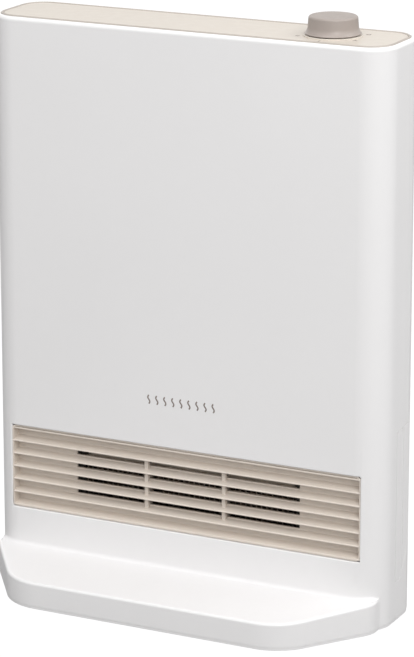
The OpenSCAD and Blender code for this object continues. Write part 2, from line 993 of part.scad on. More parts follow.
module fan_wheel() {
    discs = [-fan_reach, -fan_reach / 3, fan_reach / 3, fan_reach - disc_t];
    color("lightgray") translate([0, fan_y, fan_z]) rotate([90, 0, 90]) difference() {
        union() {
            for (x = discs) translate([0, 0, x]) linear_extrude(disc_t) difference() {
                circle(fan_r);
                if (abs(x) < fan_reach / 2) circle(fan_r - blade_d);
            }
            for (x = [-fan_reach, fan_reach - 8]) translate([0, 0, x]) cylinder(h = 8, r = 6);
            linear_extrude(2 * fan_reach - 0.2, center = true) for (i = [0 : blade_count - 1]) {
                rotate(i * 360 / blade_count) translate([fan_r - blade_d / 2 - 1, 0]) rotate(blade_tilt) {
                    square([blade_d, blade_t], center = true);
                }
            }
        }
        cylinder(h = 4 * fan_reach, r = shaft_r, center = true);
    }
}

module fan_shaft() {
    color("silver") along_x(shaft_left, shaft_right) translate([fan_y, fan_z]) circle(shaft_r);
}

module bearing_bush() {
    color("darkgoldenrod") along_x(-plate_x - 5, -plate_x + 2) translate([fan_y, fan_z]) difference() {
        circle(bearing_r);
        circle(shaft_r + running);
    }
}

module bearing_mount() {
    color("dimgray") {
        along_x(-plate_x - plate_t, -plate_x) translate([fan_y, fan_z]) difference() {
            circle(8);
            circle(bearing_r);
        }
        along_x(-plate_x - plate_t - 2, -plate_x - plate_t) translate([fan_y, fan_z]) difference() {
            circle(10);
            circle(bearing_r);
        }
    }
}

// ---------------------------------------------------------------- motor

module motor_stator() {
    top = coil_z + limb_t / 2;
    color("gray") along_x(motor_x, motor_x + stack_t) difference() {
        translate([fan_y - stator_half, fan_z - stator_half])
            square([2 * stator_half, top - fan_z + stator_half]);
        translate([fan_y, fan_z]) circle(rotor_r + 0.4);
        translate([fan_y - coil_half - 2, coil_z - limb_t / 2 - coil_out * 2]) {
            square([2 * coil_half + 4, coil_out * 2]);
        }
        for (y = [-motor_screw_out, motor_screw_out]) translate([fan_y + y, fan_z]) circle(screw_r + 0.2);
    }
}

module motor_coil() {
    color("chocolate") difference() {
        translate([motor_x - coil_out, fan_y - coil_half, coil_z - limb_t / 2 - 2 * coil_out + 2]) {
            cube([stack_t + 2 * coil_out, 2 * coil_half, limb_t + 3 * coil_out]);
        }
        translate([motor_x, fan_y - body_d, coil_z - limb_t / 2]) cube([stack_t, 2 * body_d, limb_t]);
    }
}

module motor_rotor() {
    color("silver") along_x(motor_x - 1, motor_x + stack_t + 1) translate([fan_y, fan_z]) difference() {
        circle(rotor_r);
        circle(shaft_r);
    }
}

module bracket_sheet_profile() {
    difference() {
        union() {
            translate([fan_y - stator_half, fan_z - 6]) square([2 * stator_half, 12]);
            translate([fan_y, fan_z]) circle(9);
        }
        translate([fan_y, fan_z]) circle(bearing_r);
        for (y = [-motor_screw_out, motor_screw_out]) translate([fan_y + y, fan_z]) circle(screw_r + 0.2);
    }
}

// Two end brackets with legs on the iron stack, and spacers to the fan's end plate
module motor_brackets() {
    left = motor_x - bracket_gap;
    right = motor_x + stack_t + bracket_gap;
    color("silver") {
        for (x = [left - bracket_sheet, right]) along_x(x, x + bracket_sheet) bracket_sheet_profile();
        for (span = [[left, motor_x], [right - bracket_gap, right],
            [plate_x + plate_t, left - bracket_sheet]]) {
            along_x(span[0], span[1]) for (y = [-motor_screw_out, motor_screw_out]) {
                translate([fan_y + y, fan_z]) difference() {
                    circle(4);
                    circle(screw_r + 0.2);
                }
            }
        }
    }
}

module motor_bearings() {
    left = motor_x - bracket_gap - bracket_sheet;
    right = motor_x + stack_t + bracket_gap;
    color("darkgoldenrod") for (x = [left - 1, right - 1]) {
        along_x(x, x + bracket_sheet + 2) translate([fan_y, fan_z]) difference() {
            circle(bearing_r);
            circle(shaft_r + running);
        }
    }
}

module motor_screws() {
    head_x = motor_x + stack_t + bracket_gap + bracket_sheet;
    color("silver") for (y = [-motor_screw_out, motor_screw_out]) {
        translate([head_x, fan_y + y, fan_z]) rotate([0, -90, 0]) screw(head_x - plate_x);
    }
}

// ---------------------------------------------------------------- safety parts

module thermal_cutout() {
    place = [plate_x + plate_t, fan_y, element_top + 8];
    color("silver") translate(place) rotate([0, 90, 0]) {
        cylinder(h = 3, r = 8);
        translate([0, 0, 3]) cylinder(h = 6, r = 6.5);
        for (y = [-4, 3.2]) translate([-tab_w / 2, y, 9]) cube([tab_w, tab_t, 7]);
    }
}

module thermal_fuse() {
    place = [plate_x + plate_t, fan_y + 6, element_low + 20];
    color("ivory") translate(place) {
        translate([2.4, 0, -8]) cylinder(h = 16, r = 2.4);
        translate([0, -3, -2]) cube([2, 6, 4]);
    }
}

module tip_switch() {
    wide = 16;
    deep = 14;
    color("dimgray") translate([tip_x, tip_y, 0]) difference() {
        union() {
            translate([-wide / 2, -deep / 2, tip_body_z]) cube([wide, deep, 18]);
            for (x = [-wide / 2, wide / 2 - 3]) translate([x, -deep / 2, shell_z]) cube([3, deep, 6.1]);
        }
        translate([0, 0, tip_body_z - past]) cylinder(h = 3 + past, r = tip_r + running);
        translate([0, 0, tip_body_z + 2]) cylinder(h = 14, r = tip_r + 2.4);
    }
}

// Plunger that stands on the floor and drops when the heater is lifted
module tip_plunger() {
    color("orange") translate([tip_x, tip_y, 0]) {
        cylinder(h = tip_body_z + 6 + tip_travel, r = tip_r);
        translate([0, 0, tip_body_z + 3 + tip_travel + 0.2]) cylinder(h = 1.5, r = tip_r + 2);
    }
}

// Spring above the plunger's collar: closed rings on a thin sleeve
module tip_spring() {
    low = tip_body_z + 3 + tip_travel + 1.9;
    high = tip_body_z + 16 - 0.2;
    turns = 5;
    color("silver") translate([tip_x, tip_y, 0]) {
        for (i = [0 : turns - 1]) {
            z = low + tip_wire + i * (high - low - 2 * tip_wire) / (turns - 1);
            translate([0, 0, z]) rotate_extrude($fn = 32) translate([tip_r + 1, 0])
                circle(tip_wire, $fn = 16);
        }
        for (y = [-1, 1]) translate([-0.2, y * (tip_r + 1) - 0.2, low + 0.1])
            cube([0.4, 0.4, high - low - 0.2]);
    }
}

// ---------------------------------------------------------------- cord inlet and wiring

// Strain-relief bush in the back cover
module cord_gland() {
    color("dimgray") translate([gland_x, 0, gland_z]) rotate([-90, 0, 0]) difference() {
        union() {
            translate([0, 0, back_y - gland_in]) cylinder(h = gland_in - 0.2, r = gland_neck_r);
            translate([0, 0, back_y - wall - 2 - 0.2]) cylinder(h = 2, r = gland_flange_r);
        }
        translate([0, 0, back_y - gland_in - past]) cylinder(h = gland_in + 2 * past, r = gland_bore_r);
    }
}

module terminal_block() {
    color("ivory") translate([gland_x, face_y + 20, shell_z]) difference() {
        translate([-17, -8, 0]) cube([34, 16, 16]);
        for (i = [-1, 0, 1]) translate([i * 11, 0, 9]) cylinder(h = 10, r = 2.6);
    }
}

// Two leads that climb from the terminal block to the control's switch
module internal_leads() {
    high = switch_z - switch_h - 14;
    color("brown") for (i = [0, 1]) {
        y = lead_y - 4 * i;
        start = [gland_x + 17 + lead_r, face_y + 18 + 4 * i, shell_z + 5];
        turn_low = [lead_x, y, start[2]];
        turn_high = [lead_x, y, high];
        end = [knob_x + 10.5 - 7 * i, mid_y, switch_z - switch_h - 9 - lead_r];
        route = [start, turn_low, turn_high, end];
        for (k = [0 : 2]) lead_run(route[k], route[k + 1]);
    }
}

// ---------------------------------------------------------------- screws

module housing_screws() {
    color("silver") post_places() {
        translate([0, seam_y - 4 + gap + 3, 0]) rotate([90, 0, 0]) screw(14);
    }
}

module base_screws() {
    color("silver") for (place = base_posts) {
        translate([place[0], place[1], base_z + 1.2]) base_screw();
    }
}

module base_screw() {
    cylinder(h = 9, r = base_screw_r);
    difference() {
        translate([0, 0, -1.1]) cylinder(h = 1.1, r = screw_head_r);
        for (turn = [0, 90]) rotate(turn) translate([-2, -0.35, -1.1 - past]) cube([4, 0.7, 0.5 + past]);
    }
}

front_housing();
back_cover();
base_plate();
rubber_feet();
top_trim_ring();
top_panel();
knob_collar();
control_knob();
switch_shaft();
rotary_switch();
switch_terminals();
switch_nut();
switch_bracket();
switch_screws();
outlet_grille();
grille_screws();
heater_frame();
heater_fins();
ceramic_bars();
heater_terminals();
fan_scroll();
outlet_duct();
fan_wheel();
fan_shaft();
bearing_bush();
bearing_mount();
motor_stator();
motor_coil();
motor_rotor();
motor_brackets();
motor_bearings();
motor_screws();
thermal_cutout();
thermal_fuse();
tip_switch();
tip_plunger();
tip_spring();
cord_gland();
terminal_block();
internal_leads();
housing_screws();
base_screws();
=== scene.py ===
import json
import math

import bmesh
import bpy
from bpy.props import FloatProperty, FloatVectorProperty, IntProperty, PointerProperty
from mathutils import Matrix, Vector


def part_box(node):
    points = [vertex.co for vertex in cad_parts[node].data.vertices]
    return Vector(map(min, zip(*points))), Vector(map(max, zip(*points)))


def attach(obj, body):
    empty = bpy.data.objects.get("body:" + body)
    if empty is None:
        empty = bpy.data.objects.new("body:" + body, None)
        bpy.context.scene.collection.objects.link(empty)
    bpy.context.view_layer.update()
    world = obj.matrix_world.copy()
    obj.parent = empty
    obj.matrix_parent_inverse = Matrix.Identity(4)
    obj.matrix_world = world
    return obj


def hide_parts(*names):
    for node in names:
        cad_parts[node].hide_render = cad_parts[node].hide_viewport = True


bl_info = {
    "name": "Fan Convector Heater",
    "version": (1, 0, 0),
    "blender": (4, 5, 0),
    "location": "View3D > Sidebar > Heater",
    "description": "Finishes a slim upright fan heater around its packed frame",
    "category": "Object",
}

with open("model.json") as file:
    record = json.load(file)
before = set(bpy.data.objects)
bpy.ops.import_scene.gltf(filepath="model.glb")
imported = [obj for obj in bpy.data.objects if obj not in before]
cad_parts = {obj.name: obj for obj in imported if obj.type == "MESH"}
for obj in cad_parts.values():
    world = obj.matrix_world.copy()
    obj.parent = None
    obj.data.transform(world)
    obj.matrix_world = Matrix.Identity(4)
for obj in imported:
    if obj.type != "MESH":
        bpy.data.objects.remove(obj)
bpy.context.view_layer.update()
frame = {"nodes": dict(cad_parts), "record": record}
NODES = frame["nodes"]
SLOT_OF = {part["node"]: part["material_slot"] for part in frame["record"]["subparts"]}

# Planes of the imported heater, in metres
FRONT_LOW, FRONT_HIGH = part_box("front_housing")
BACK_LOW, BACK_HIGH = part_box("back_cover")
HALF_W = FRONT_HIGH.x
FOOT_Y = FRONT_LOW.y
SEAM_Y = FRONT_HIGH.y
BACK_Y = BACK_HIGH.y
TOP_Z = FRONT_HIGH.z
SHELL_Z = FRONT_LOW.z
PANEL_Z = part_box("top_panel")[1].z
KNOB_LOW, KNOB_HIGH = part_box("control_knob")
KNOB_X = (KNOB_LOW.x + KNOB_HIGH.x) / 2
KNOB_Y = (KNOB_LOW.y + KNOB_HIGH.y) / 2
GRILLE_LOW, GRILLE_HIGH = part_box("outlet_grille")


# ---------------------------------------------------------------- sizes and colours


def length(name, description, default):
    return FloatProperty(name=name, description=description, default=default, unit="LENGTH", precision=5)


def colour(name, description, default):
    return FloatVectorProperty(
        name=name, description=description, default=default, subtype="COLOR", size=3, min=0.0, max=1.0
    )


class HeaterShellSizes(bpy.types.PropertyGroup):
    """Sizes of the white housing"""

    face_y: length("Front face", "Plane of the housing's front face", -0.00275)
    corner_r: length("Corner radius", "Radius of the upright corners", 0.0205)
    wall: length("Wall", "Wall thickness of the mouldings", 0.0024)
    rim_round: length("Rim round", "Radius of the top rim's outer edge", 0.0027)
    rim_w: length("Rim width", "Width of the rim outside the trim ring", 0.0031)
    foot_h: length("Foot height", "Height of the foot's front edge", 0.0204)
    crease_h: length("Crease height", "Height of the crease between foot and front face", 0.0233)
    foot_r: length("Foot corner radius", "Radius of the foot's front corners", 0.038)
    foot_corner_in: length("Foot corner inset", "Distance from the side to that corner's centre", 0.066)
    foot_side_r: length("Foot side radius", "Radius where the foot meets the side", 0.020)
    foot_inset: length("Foot inset", "How far the foot's sides stand inside the body's sides", 0.0035)
    foot_slant: FloatProperty(
        name="Foot slant", description="Angle of the foot's slanted sides",
        default=math.radians(54), subtype="ANGLE",
    )
    edge_round: length("Foot edge round", "Radius of the foot's top edge", 0.0020)
    crease_round: length("Crease round", "Radius of the crease above the foot", 0.0030)
    recess_y: length("Recess front", "Front edge of the recess low on each side", 0.02485)
    recess_depth: length("Recess depth", "Depth of that recess", 0.0019)


class HeaterOutletSizes(bpy.types.PropertyGroup):
    """Sizes of the outlet and its louvres"""

    half_w: length("Half width", "Half width of the outlet opening", 0.135)
    low_z: length("Lower edge", "Height of the opening's lower edge", 0.0506)
    high_z: length("Upper edge", "Height of the opening's upper edge", 0.1116)
    corner: length("Corner radius", "Radius of the opening's corners", 0.0035)
    rim_round: length("Rim round", "Radius of the opening's outer edge", 0.0008)
    first_tip: length("First louvre", "Height of the lowest louvre's tip", 0.0522)
    pitch: length("Louvre pitch", "Distance from one louvre to the next", 0.0095)
    rise: length("Louvre rise", "Height that a louvre gains from tip to back", 0.0024)
    fillet: length("Louvre fillet", "Radius where a louvre curves up into the back wall", 0.0011)
    slot_low: length("Slot foot", "Height of a slot's lower edge above its louvre's tip", 0.0033)
    lining: length("Lining", "Thickness of the frame that lines the opening", 0.0009)
    rib_front: length("Rib front", "Depth of the ribs' front edge behind the face", 0.0055)
    thickness: length("Louvre thickness", "Thickness of a louvre", 0.0016)
    back: length("Louvre back", "Depth of the louvres' back plane behind the face", 0.0090)
    slot_reach: length("Slot reach", "Half width of the rows of open slots", 0.0865)
    rib_x: length("Rib place", "Distance of an upright rib from the middle", 0.030)
    rib_w: length("Rib width", "Width of an upright rib", 0.003)
    channels: IntProperty(name="Channels", description="Number of channels between louvres", default=6)


class HeaterControlSizes(bpy.types.PropertyGroup):
    """Sizes of the knob and its dial"""

    crown_round: length("Crown round", "Radius of the knob's top edge", 0.0016)
    neck: length("Neck", "Radius of the knob above its flared foot", 0.017)
    flare: length("Flare", "Height of the flare at the knob's foot", 0.0049)
    taper: length("Taper", "Difference between the knob's neck and crown radius", 0.0004)
    skin: length("Skin", "Wall thickness of the knob", 0.0026)
    mark_ring: length("Mark ring", "Distance of the dial marks from the knob's axis", 0.0239)
    mark_size: length("Mark size", "Height of a dial mark", 0.0034)
    first_mark: FloatProperty(
        name="First mark", description="Direction of the off mark in plan",
        default=math.radians(31), subtype="ANGLE",
    )
    mark_step: FloatProperty(
        name="Mark step", description="Angle from one dial mark to the next",
        default=math.radians(60), subtype="ANGLE",
    )


class HeaterColours(bpy.types.PropertyGroup):
    """Colours of the visible finishes"""

    housing: colour("Housing", "White of the mouldings", (0.80, 0.79, 0.79))
    panel: colour("Top panel", "Cream of the top panel", (0.60, 0.545, 0.48))
    trim: colour("Trim", "Taupe of the trim ring", (0.43, 0.385, 0.345))
    knob: colour("Knob", "Warm grey of the knob", (0.34, 0.295, 0.268))
    grille: colour("Grille", "Beige of the outlet grille", (0.70, 0.63, 0.56))
    marks: colour("Marks", "Taupe of the printed marks", (0.22, 0.18, 0.16))


# ---------------------------------------------------------------- node helpers


def add_node(tree, kind, **settings):
    made = tree.nodes.new(kind)
    for key, value in settings.items():
        setattr(made, key, value)
    return made


def add_texture(tree, kind, place, scale=None, detail=None, **settings):
    """Texture node at a place, with its scale and detail set where they are given."""
    made = add_node(tree, kind, **settings)
    if scale is not None:
        made.inputs["Scale"].default_value = scale
    if detail is not None:
        made.inputs["Detail"].default_value = detail
    tree.links.new(place, made.inputs["Vector"])
    return made


def mix_colours(tree, factor, first, second):
    """Colour mix; first and second are either sockets or plain colours."""
    mixer = add_node(tree, "ShaderNodeMix", data_type="RGBA")
    tree.links.new(factor, mixer.inputs[0])
    for place, value in ((6, first), (7, second)):
        if isinstance(value, bpy.types.NodeSocket):
            tree.links.new(value, mixer.inputs[place])
        else:
            mixer.inputs[place].default_value = (*value, 1.0)
    return mixer.outputs[2]


def map_range(tree, value, low, high, to_low, to_high):
    ranged = add_node(tree, "ShaderNodeMapRange")
    tree.links.new(value, ranged.inputs["Value"])
    for name, number in (("From Min", low), ("From Max", high), ("To Min", to_low), ("To Max", to_high)):
        ranged.inputs[name].default_value = number
    return ranged.outputs["Result"]


def combine(tree, operation, first, second):
    maths = add_node(tree, "ShaderNodeMath", operation=operation)
    for place, value in enumerate((first, second)):
        if isinstance(value, bpy.types.NodeSocket):
            tree.links.new(value, maths.inputs[place])
        else:
            maths.inputs[place].default_value = value
    return maths.outputs[0]


def new_group(name, inputs, outputs):
    """Empty shader node group with named sockets: (name, socket type, default)."""
    tree = bpy.data.node_groups.new(name, "ShaderNodeTree")
    for label, kind, default in inputs:
        socket = tree.interface.new_socket(name=label, in_out="INPUT", socket_type=kind)
        if default is not None:
            socket.default_value = default
    for label, kind in outputs:
        tree.interface.new_socket(name=label, in_out="OUTPUT", socket_type=kind)
    return tree, add_node(tree, "NodeGroupInput"), add_node(tree, "NodeGroupOutput")


def moulded_grain_group():
    """Fine spark-eroded grain with faint flow marks, in object space."""
    tree, given, out = new_group(
        "Moulded grain",
        [
            ("Place", "NodeSocketVector", None),
            ("Grain Scale", "NodeSocketFloat", 1800.0),
            ("Light", "NodeSocketColor", (0.8, 0.8, 0.8, 1.0)),
            ("Dark", "NodeSocketColor", (0.75, 0.75, 0.75, 1.0)),
            ("Roughness Low", "NodeSocketFloat", 0.3),
            ("Roughness High", "NodeSocketFloat", 0.4),
        ],
        [("Color", "NodeSocketColor"), ("Roughness", "NodeSocketFloat"), ("Height", "NodeSocketFloat")],
    )
    place = given.outputs["Place"]
    grain = add_texture(tree, "ShaderNodeTexNoise", place, detail=3.0)
    grain.inputs["Roughness"].default_value = 0.6
    tree.links.new(given.outputs["Grain Scale"], grain.inputs["Scale"])
    flow = add_texture(tree, "ShaderNodeTexNoise", place, 9.0, 4.0)
    mottle = add_texture(tree, "ShaderNodeTexNoise", place, 160.0, 2.0)
    tone = combine(
        tree, "ADD",
        map_range(tree, flow.outputs["Fac"], 0.35, 0.65, 0.0, 0.7),
        map_range(tree, mottle.outputs["Fac"], 0.3, 0.7, 0.0, 0.3),
    )
    tree.links.new(
        mix_colours(tree, tone, given.outputs["Light"], given.outputs["Dark"]), out.inputs["Color"]
    )
    rough = add_node(tree, "ShaderNodeMapRange")
    tree.links.new(mottle.outputs["Fac"], rough.inputs["Value"])
    rough.inputs["From Min"].default_value = 0.3
    rough.inputs["From Max"].default_value = 0.7
    tree.links.new(given.outputs["Roughness Low"], rough.inputs["To Min"])
    tree.links.new(given.outputs["Roughness High"], rough.inputs["To Max"])
    tree.links.new(rough.outputs["Result"], out.inputs["Roughness"])
    tree.links.new(grain.outputs["Fac"], out.inputs["Height"])
    return tree


def brushed_metal_group():
    """Drawn or rolled metal: long fine lines along X with a cloudy tarnish."""
    tree, given, out = new_group(
        "Brushed metal",
        [
            ("Place", "NodeSocketVector", None),
            ("Line Scale", "NodeSocketFloat", 900.0),
            ("Bright", "NodeSocketColor", (0.6, 0.6, 0.6, 1.0)),
            ("Tarnish", "NodeSocketColor", (0.4, 0.4, 0.4, 1.0)),
        ],
        [("Color", "NodeSocketColor"), ("Roughness", "NodeSocketFloat"), ("Height", "NodeSocketFloat")],
    )
    stretch = add_node(tree, "ShaderNodeMapping")
    stretch.inputs["Scale"].default_value = (0.04, 1.0, 1.0)
    tree.links.new(given.outputs["Place"], stretch.inputs["Vector"])
    lines = add_texture(tree, "ShaderNodeTexNoise", stretch.outputs["Vector"], detail=2.0)
    tree.links.new(given.outputs["Line Scale"], lines.inputs["Scale"])
    clouds = add_texture(tree, "ShaderNodeTexNoise", given.outputs["Place"], 70.0, 5.0)
    mask = map_range(tree, clouds.outputs["Fac"], 0.45, 0.7, 0.0, 1.0)
    tree.links.new(
        mix_colours(tree, mask, given.outputs["Bright"], given.outputs["Tarnish"]), out.inputs["Color"]
    )
    tree.links.new(
        combine(
            tree, "ADD",
            map_range(tree, lines.outputs["Fac"], 0.3, 0.7, 0.22, 0.36),
            map_range(tree, clouds.outputs["Fac"], 0.4, 0.7, 0.0, 0.15),
        ),
        out.inputs["Roughness"],
    )
    tree.links.new(lines.outputs["Fac"], out.inputs["Height"])
    return tree


def settled_dust_group():
    """Thin dust that gathers on upward faces and thins out in patches."""
    tree, given, out = new_group(
        "Settled dust",
        [("Place", "NodeSocketVector", None), ("Under", "NodeSocketColor", (0.5, 0.5, 0.5, 1.0)),
         ("Amount", "NodeSocketFloat", 0.2)],
        [("Color", "NodeSocketColor"), ("Mask", "NodeSocketFloat")],
    )
    shape = add_node(tree, "ShaderNodeNewGeometry")
    split = add_node(tree, "ShaderNodeSeparateXYZ")
    tree.links.new(shape.outputs["Normal"], split.inputs[0])
    patches = add_texture(tree, "ShaderNodeTexNoise", given.outputs["Place"], 60.0, 6.0)
    mask = combine(
        tree, "MULTIPLY",
        map_range(tree, split.outputs["Z"], 0.2, 1.0, 0.0, 1.0),
        map_range(tree, patches.outputs["Fac"], 0.35, 0.7, 0.3, 1.0),
    )
    mask = combine(tree, "MULTIPLY", mask, given.outputs["Amount"])
    dusty = mix_colours(tree, mask, given.outputs["Under"], (0.55, 0.52, 0.48))
    tree.links.new(dusty, out.inputs["Color"])
    tree.links.new(mask, out.inputs["Mask"])
    return tree


GROUPS = {}


def shared_group(name):
    makers = {
        "grain": moulded_grain_group,
        "metal": brushed_metal_group,
        "dust": settled_dust_group,
    }
    if name not in GROUPS:
        GROUPS[name] = makers[name]()
    return GROUPS[name]


def start_material(name):
    material = bpy.data.materials.new(name)
    material.use_nodes = True
    tree = material.node_tree
    shader = tree.nodes["Principled BSDF"]
    place = add_node(tree, "ShaderNodeTexCoord").outputs["Object"]
    return material, tree, shader, place


def use_group(tree, name, place, **values):
    used = add_node(tree, "ShaderNodeGroup", node_tree=shared_group(name))
    tree.links.new(place, used.inputs["Place"])
    for key, value in values.items():
        used.inputs[key.replace("_", " ")].default_value = value
    return used


def add_bump(tree, height, shader, depth):
    bump = add_node(tree, "ShaderNodeBump")
    bump.inputs["Strength"].default_value = 1.0
    bump.inputs["Distance"].default_value = depth
    tree.links.new(height, bump.inputs["Height"])
    tree.links.new(bump.outputs["Normal"], shader.inputs["Normal"])


def scaled(shade, factor):
    return tuple(min(1.0, part * factor) for part in shade)


def moulded_plastic(name, shade, rough, grain, depth, spread, dust=0.0):
    """Injection moulded plastic with a fine grain."""
    material, tree, shader, place = start_material(name)
    grained = use_group(
        tree, "grain", place, Grain_Scale=grain, Light=(*shade, 1.0), Dark=(*scaled(shade, spread), 1.0),
        Roughness_Low=rough - 0.03, Roughness_High=rough + 0.04,
    )
    surface = grained.outputs["Color"]
    if dust > 0.0:
        dusted = use_group(tree, "dust", place, Amount=dust)
        tree.links.new(surface, dusted.inputs["Under"])
        surface = dusted.outputs["Color"]
    tree.links.new(surface, shader.inputs["Base Color"])
    tree.links.new(grained.outputs["Roughness"], shader.inputs["Roughness"])
    add_bump(tree, grained.outputs["Height"], shader, depth)
    shader.inputs["Specular IOR Level"].default_value = 0.5
    return material


def brushed_metal(name, bright, tarnish, lines=900.0, depth=0.00002):
    """Plain metal with fine drawing lines and a little tarnish."""
    material, tree, shader, place = start_material(name)
    brushed = use_group(
        tree, "metal", place, Line_Scale=lines, Bright=(*bright, 1.0), Tarnish=(*tarnish, 1.0)
    )
    tree.links.new(brushed.outputs["Color"], shader.inputs["Base Color"])
    tree.links.new(brushed.outputs["Roughness"], shader.inputs["Roughness"])
    add_bump(tree, brushed.outputs["Height"], shader, depth)
    shader.inputs["Metallic"].default_value = 1.0
    return material


def soft_rubber(name, shade):
    """Matt rubber with a pebbled skin and pale wear on its upper faces."""
    material, tree, shader, place = start_material(name)
    pebbles = add_texture(tree, "ShaderNodeTexVoronoi", place, 1400.0, feature="F1")
    dusted = use_group(tree, "dust", place, Amount=0.25, Under=(*shade, 1.0))
    worn = map_range(tree, pebbles.outputs["Distance"], 0.0, 0.9, 0.0, 0.35)
    skin = mix_colours(tree, worn, dusted.outputs["Color"], scaled(shade, 2.2))
    tree.links.new(skin, shader.inputs["Base Color"])
    rough = map_range(tree, pebbles.outputs["Distance"], 0.0, 1.0, 0.72, 0.88)
    tree.links.new(rough, shader.inputs["Roughness"])
    add_bump(tree, pebbles.outputs["Distance"], shader, 0.00004)
    return material


def laminated_iron(name):
    """Stacked steel sheets: fine lines across the stack with a blue-grey scale."""
    material, tree, shader, place = start_material(name)
    sheets = add_texture(
        tree, "ShaderNodeTexWave", place, 320.0, wave_type="BANDS", bands_direction="X"
    )
    sheets.inputs["Distortion"].default_value = 0.4
    scale_mask = add_texture(tree, "ShaderNodeTexNoise", place, 140.0, 6.0)
    blue = map_range(tree, scale_mask.outputs["Fac"], 0.4, 0.65, 0.0, 1.0)
    tinted = mix_colours(tree, blue, (0.20, 0.21, 0.24), (0.11, 0.10, 0.10))
    gaps = map_range(tree, sheets.outputs["Fac"], 0.0, 0.4, 0.75, 0.0)
    tree.links.new(mix_colours(tree, gaps, tinted, (0.03, 0.03, 0.03)), shader.inputs["Base Color"])
    rough = map_range(tree, scale_mask.outputs["Fac"], 0.3, 0.7, 0.38, 0.6)
    tree.links.new(rough, shader.inputs["Roughness"])
    add_bump(tree, sheets.outputs["Fac"], shader, 0.00008)
    shader.inputs["Metallic"].default_value = 0.8
    return material


def wound_wire(name):
    """Enamelled copper turns laid side by side along X."""
    material, tree, shader, place = start_material(name)
    turns = add_texture(
        tree, "ShaderNodeTexWave", place, 480.0, 2.0, wave_type="BANDS", bands_direction="X",
        wave_profile="SIN",
    )
    turns.inputs["Distortion"].default_value = 1.2
    varnish = add_texture(tree, "ShaderNodeTexNoise", place, 90.0, 4.0)
    deep = map_range(tree, varnish.outputs["Fac"], 0.35, 0.65, 0.0, 1.0)
    copper = mix_colours(tree, deep, (0.52, 0.20, 0.08), (0.34, 0.11, 0.05))
    gaps = map_range(tree, turns.outputs["Fac"], 0.0, 0.5, 0.7, 0.0)
    tree.links.new(mix_colours(tree, gaps, copper, (0.06, 0.02, 0.01)), shader.inputs["Base Color"])
    rough = map_range(tree, varnish.outputs["Fac"], 0.3, 0.7, 0.25, 0.42)
    tree.links.new(rough, shader.inputs["Roughness"])
    add_bump(tree, turns.outputs["Fac"], shader, 0.00012)
    shader.inputs["Metallic"].default_value = 0.6
    return material


def fired_ceramic(name, shade):
    """Chalky sintered ceramic with fine pores and brown firing spots."""
    material, tree, shader, place = start_material(name)
    pores = add_texture(tree, "ShaderNodeTexNoise", place, 1500.0, 4.0)
    spots = add_texture(tree, "ShaderNodeTexVoronoi", place, 260.0, feature="F1")
    burnt = map_range(tree, spots.outputs["Distance"], 0.05, 0.25, 0.5, 0.0)
    tree.links.new(mix_colours(tree, burnt, shade, scaled(shade, 0.45)), shader.inputs["Base Color"])
    rough = map_range(tree, pores.outputs["Fac"], 0.3, 0.7, 0.6, 0.85)
    tree.links.new(rough, shader.inputs["Roughness"])
    add_bump(tree, pores.outputs["Fac"], shader, 0.00005)
    return material


def heater_finishes(colours):
    """One material for each finish slot of the record."""
    return {
        "housing": moulded_plastic("White moulding", tuple(colours.housing), 0.34, 1500.0, 0.000012, 0.985),
        "panel": moulded_plastic("Cream panel", tuple(colours.panel), 0.32, 900.0, 0.0, 0.985),
        "trim": moulded_plastic("Taupe trim", tuple(colours.trim), 0.42, 1600.0, 0.000015, 0.95),
        "knob": moulded_plastic("Warm grey knob", tuple(colours.knob), 0.40, 1600.0, 0.000015, 0.95),
        "grille": moulded_plastic("Beige grille", tuple(colours.grille), 0.48, 1400.0, 0.00002, 0.95),
        "rubber": soft_rubber("Foot rubber", (0.045, 0.045, 0.045)),
        "dark_plastic": moulded_plastic(
            "Black moulding", (0.032, 0.028, 0.026), 0.5, 900.0, 0.00004, 0.7, dust=0.15
        ),
        "duct_plastic": moulded_plastic(
            "Grey duct moulding", (0.10, 0.095, 0.09), 0.5, 900.0, 0.00004, 0.8, dust=0.2
        ),
        "steel": brushed_metal("Plated steel", (0.62, 0.62, 0.63), (0.42, 0.41, 0.39)),
        "iron": laminated_iron("Laminated iron"),
        "winding": wound_wire("Enamelled winding"),
        "fins": brushed_metal("Aluminium fins", (0.80, 0.72, 0.64), (0.46, 0.38, 0.31), 1400.0),
        "ceramic": fired_ceramic("Heating ceramic", (0.42, 0.38, 0.33)),
        "brass": brushed_metal("Brass tabs", (0.72, 0.52, 0.22), (0.45, 0.30, 0.14)),
        "bronze": brushed_metal("Sintered bronze", (0.50, 0.33, 0.18), (0.30, 0.20, 0.12), 400.0, 0.00005),
        "switch_body": moulded_plastic("Brown switch body", (0.16, 0.07, 0.035), 0.38, 700.0, 0.00003, 0.75),
        "ivory_plastic": moulded_plastic("Ivory moulding", (0.72, 0.66, 0.52), 0.42, 800.0, 0.00003, 0.9),
        "plunger": moulded_plastic("Red plunger", (0.42, 0.03, 0.02), 0.4, 900.0, 0.00003, 0.8),
        "lead_insulation": moulded_plastic(
            "Lead insulation", (0.20, 0.09, 0.045), 0.45, 1100.0, 0.00003, 0.85
        ),
        "marks": moulded_plastic("Printed marks", tuple(colours.marks), 0.5, 2500.0, 0.000006, 0.85),
    }


FINISHES = {}


def finish_named(name):
    if not FINISHES:
        FINISHES.update(heater_finishes(bpy.context.scene.heater_colours))
    return FINISHES[name]


# ---------------------------------------------------------------- mesh helpers


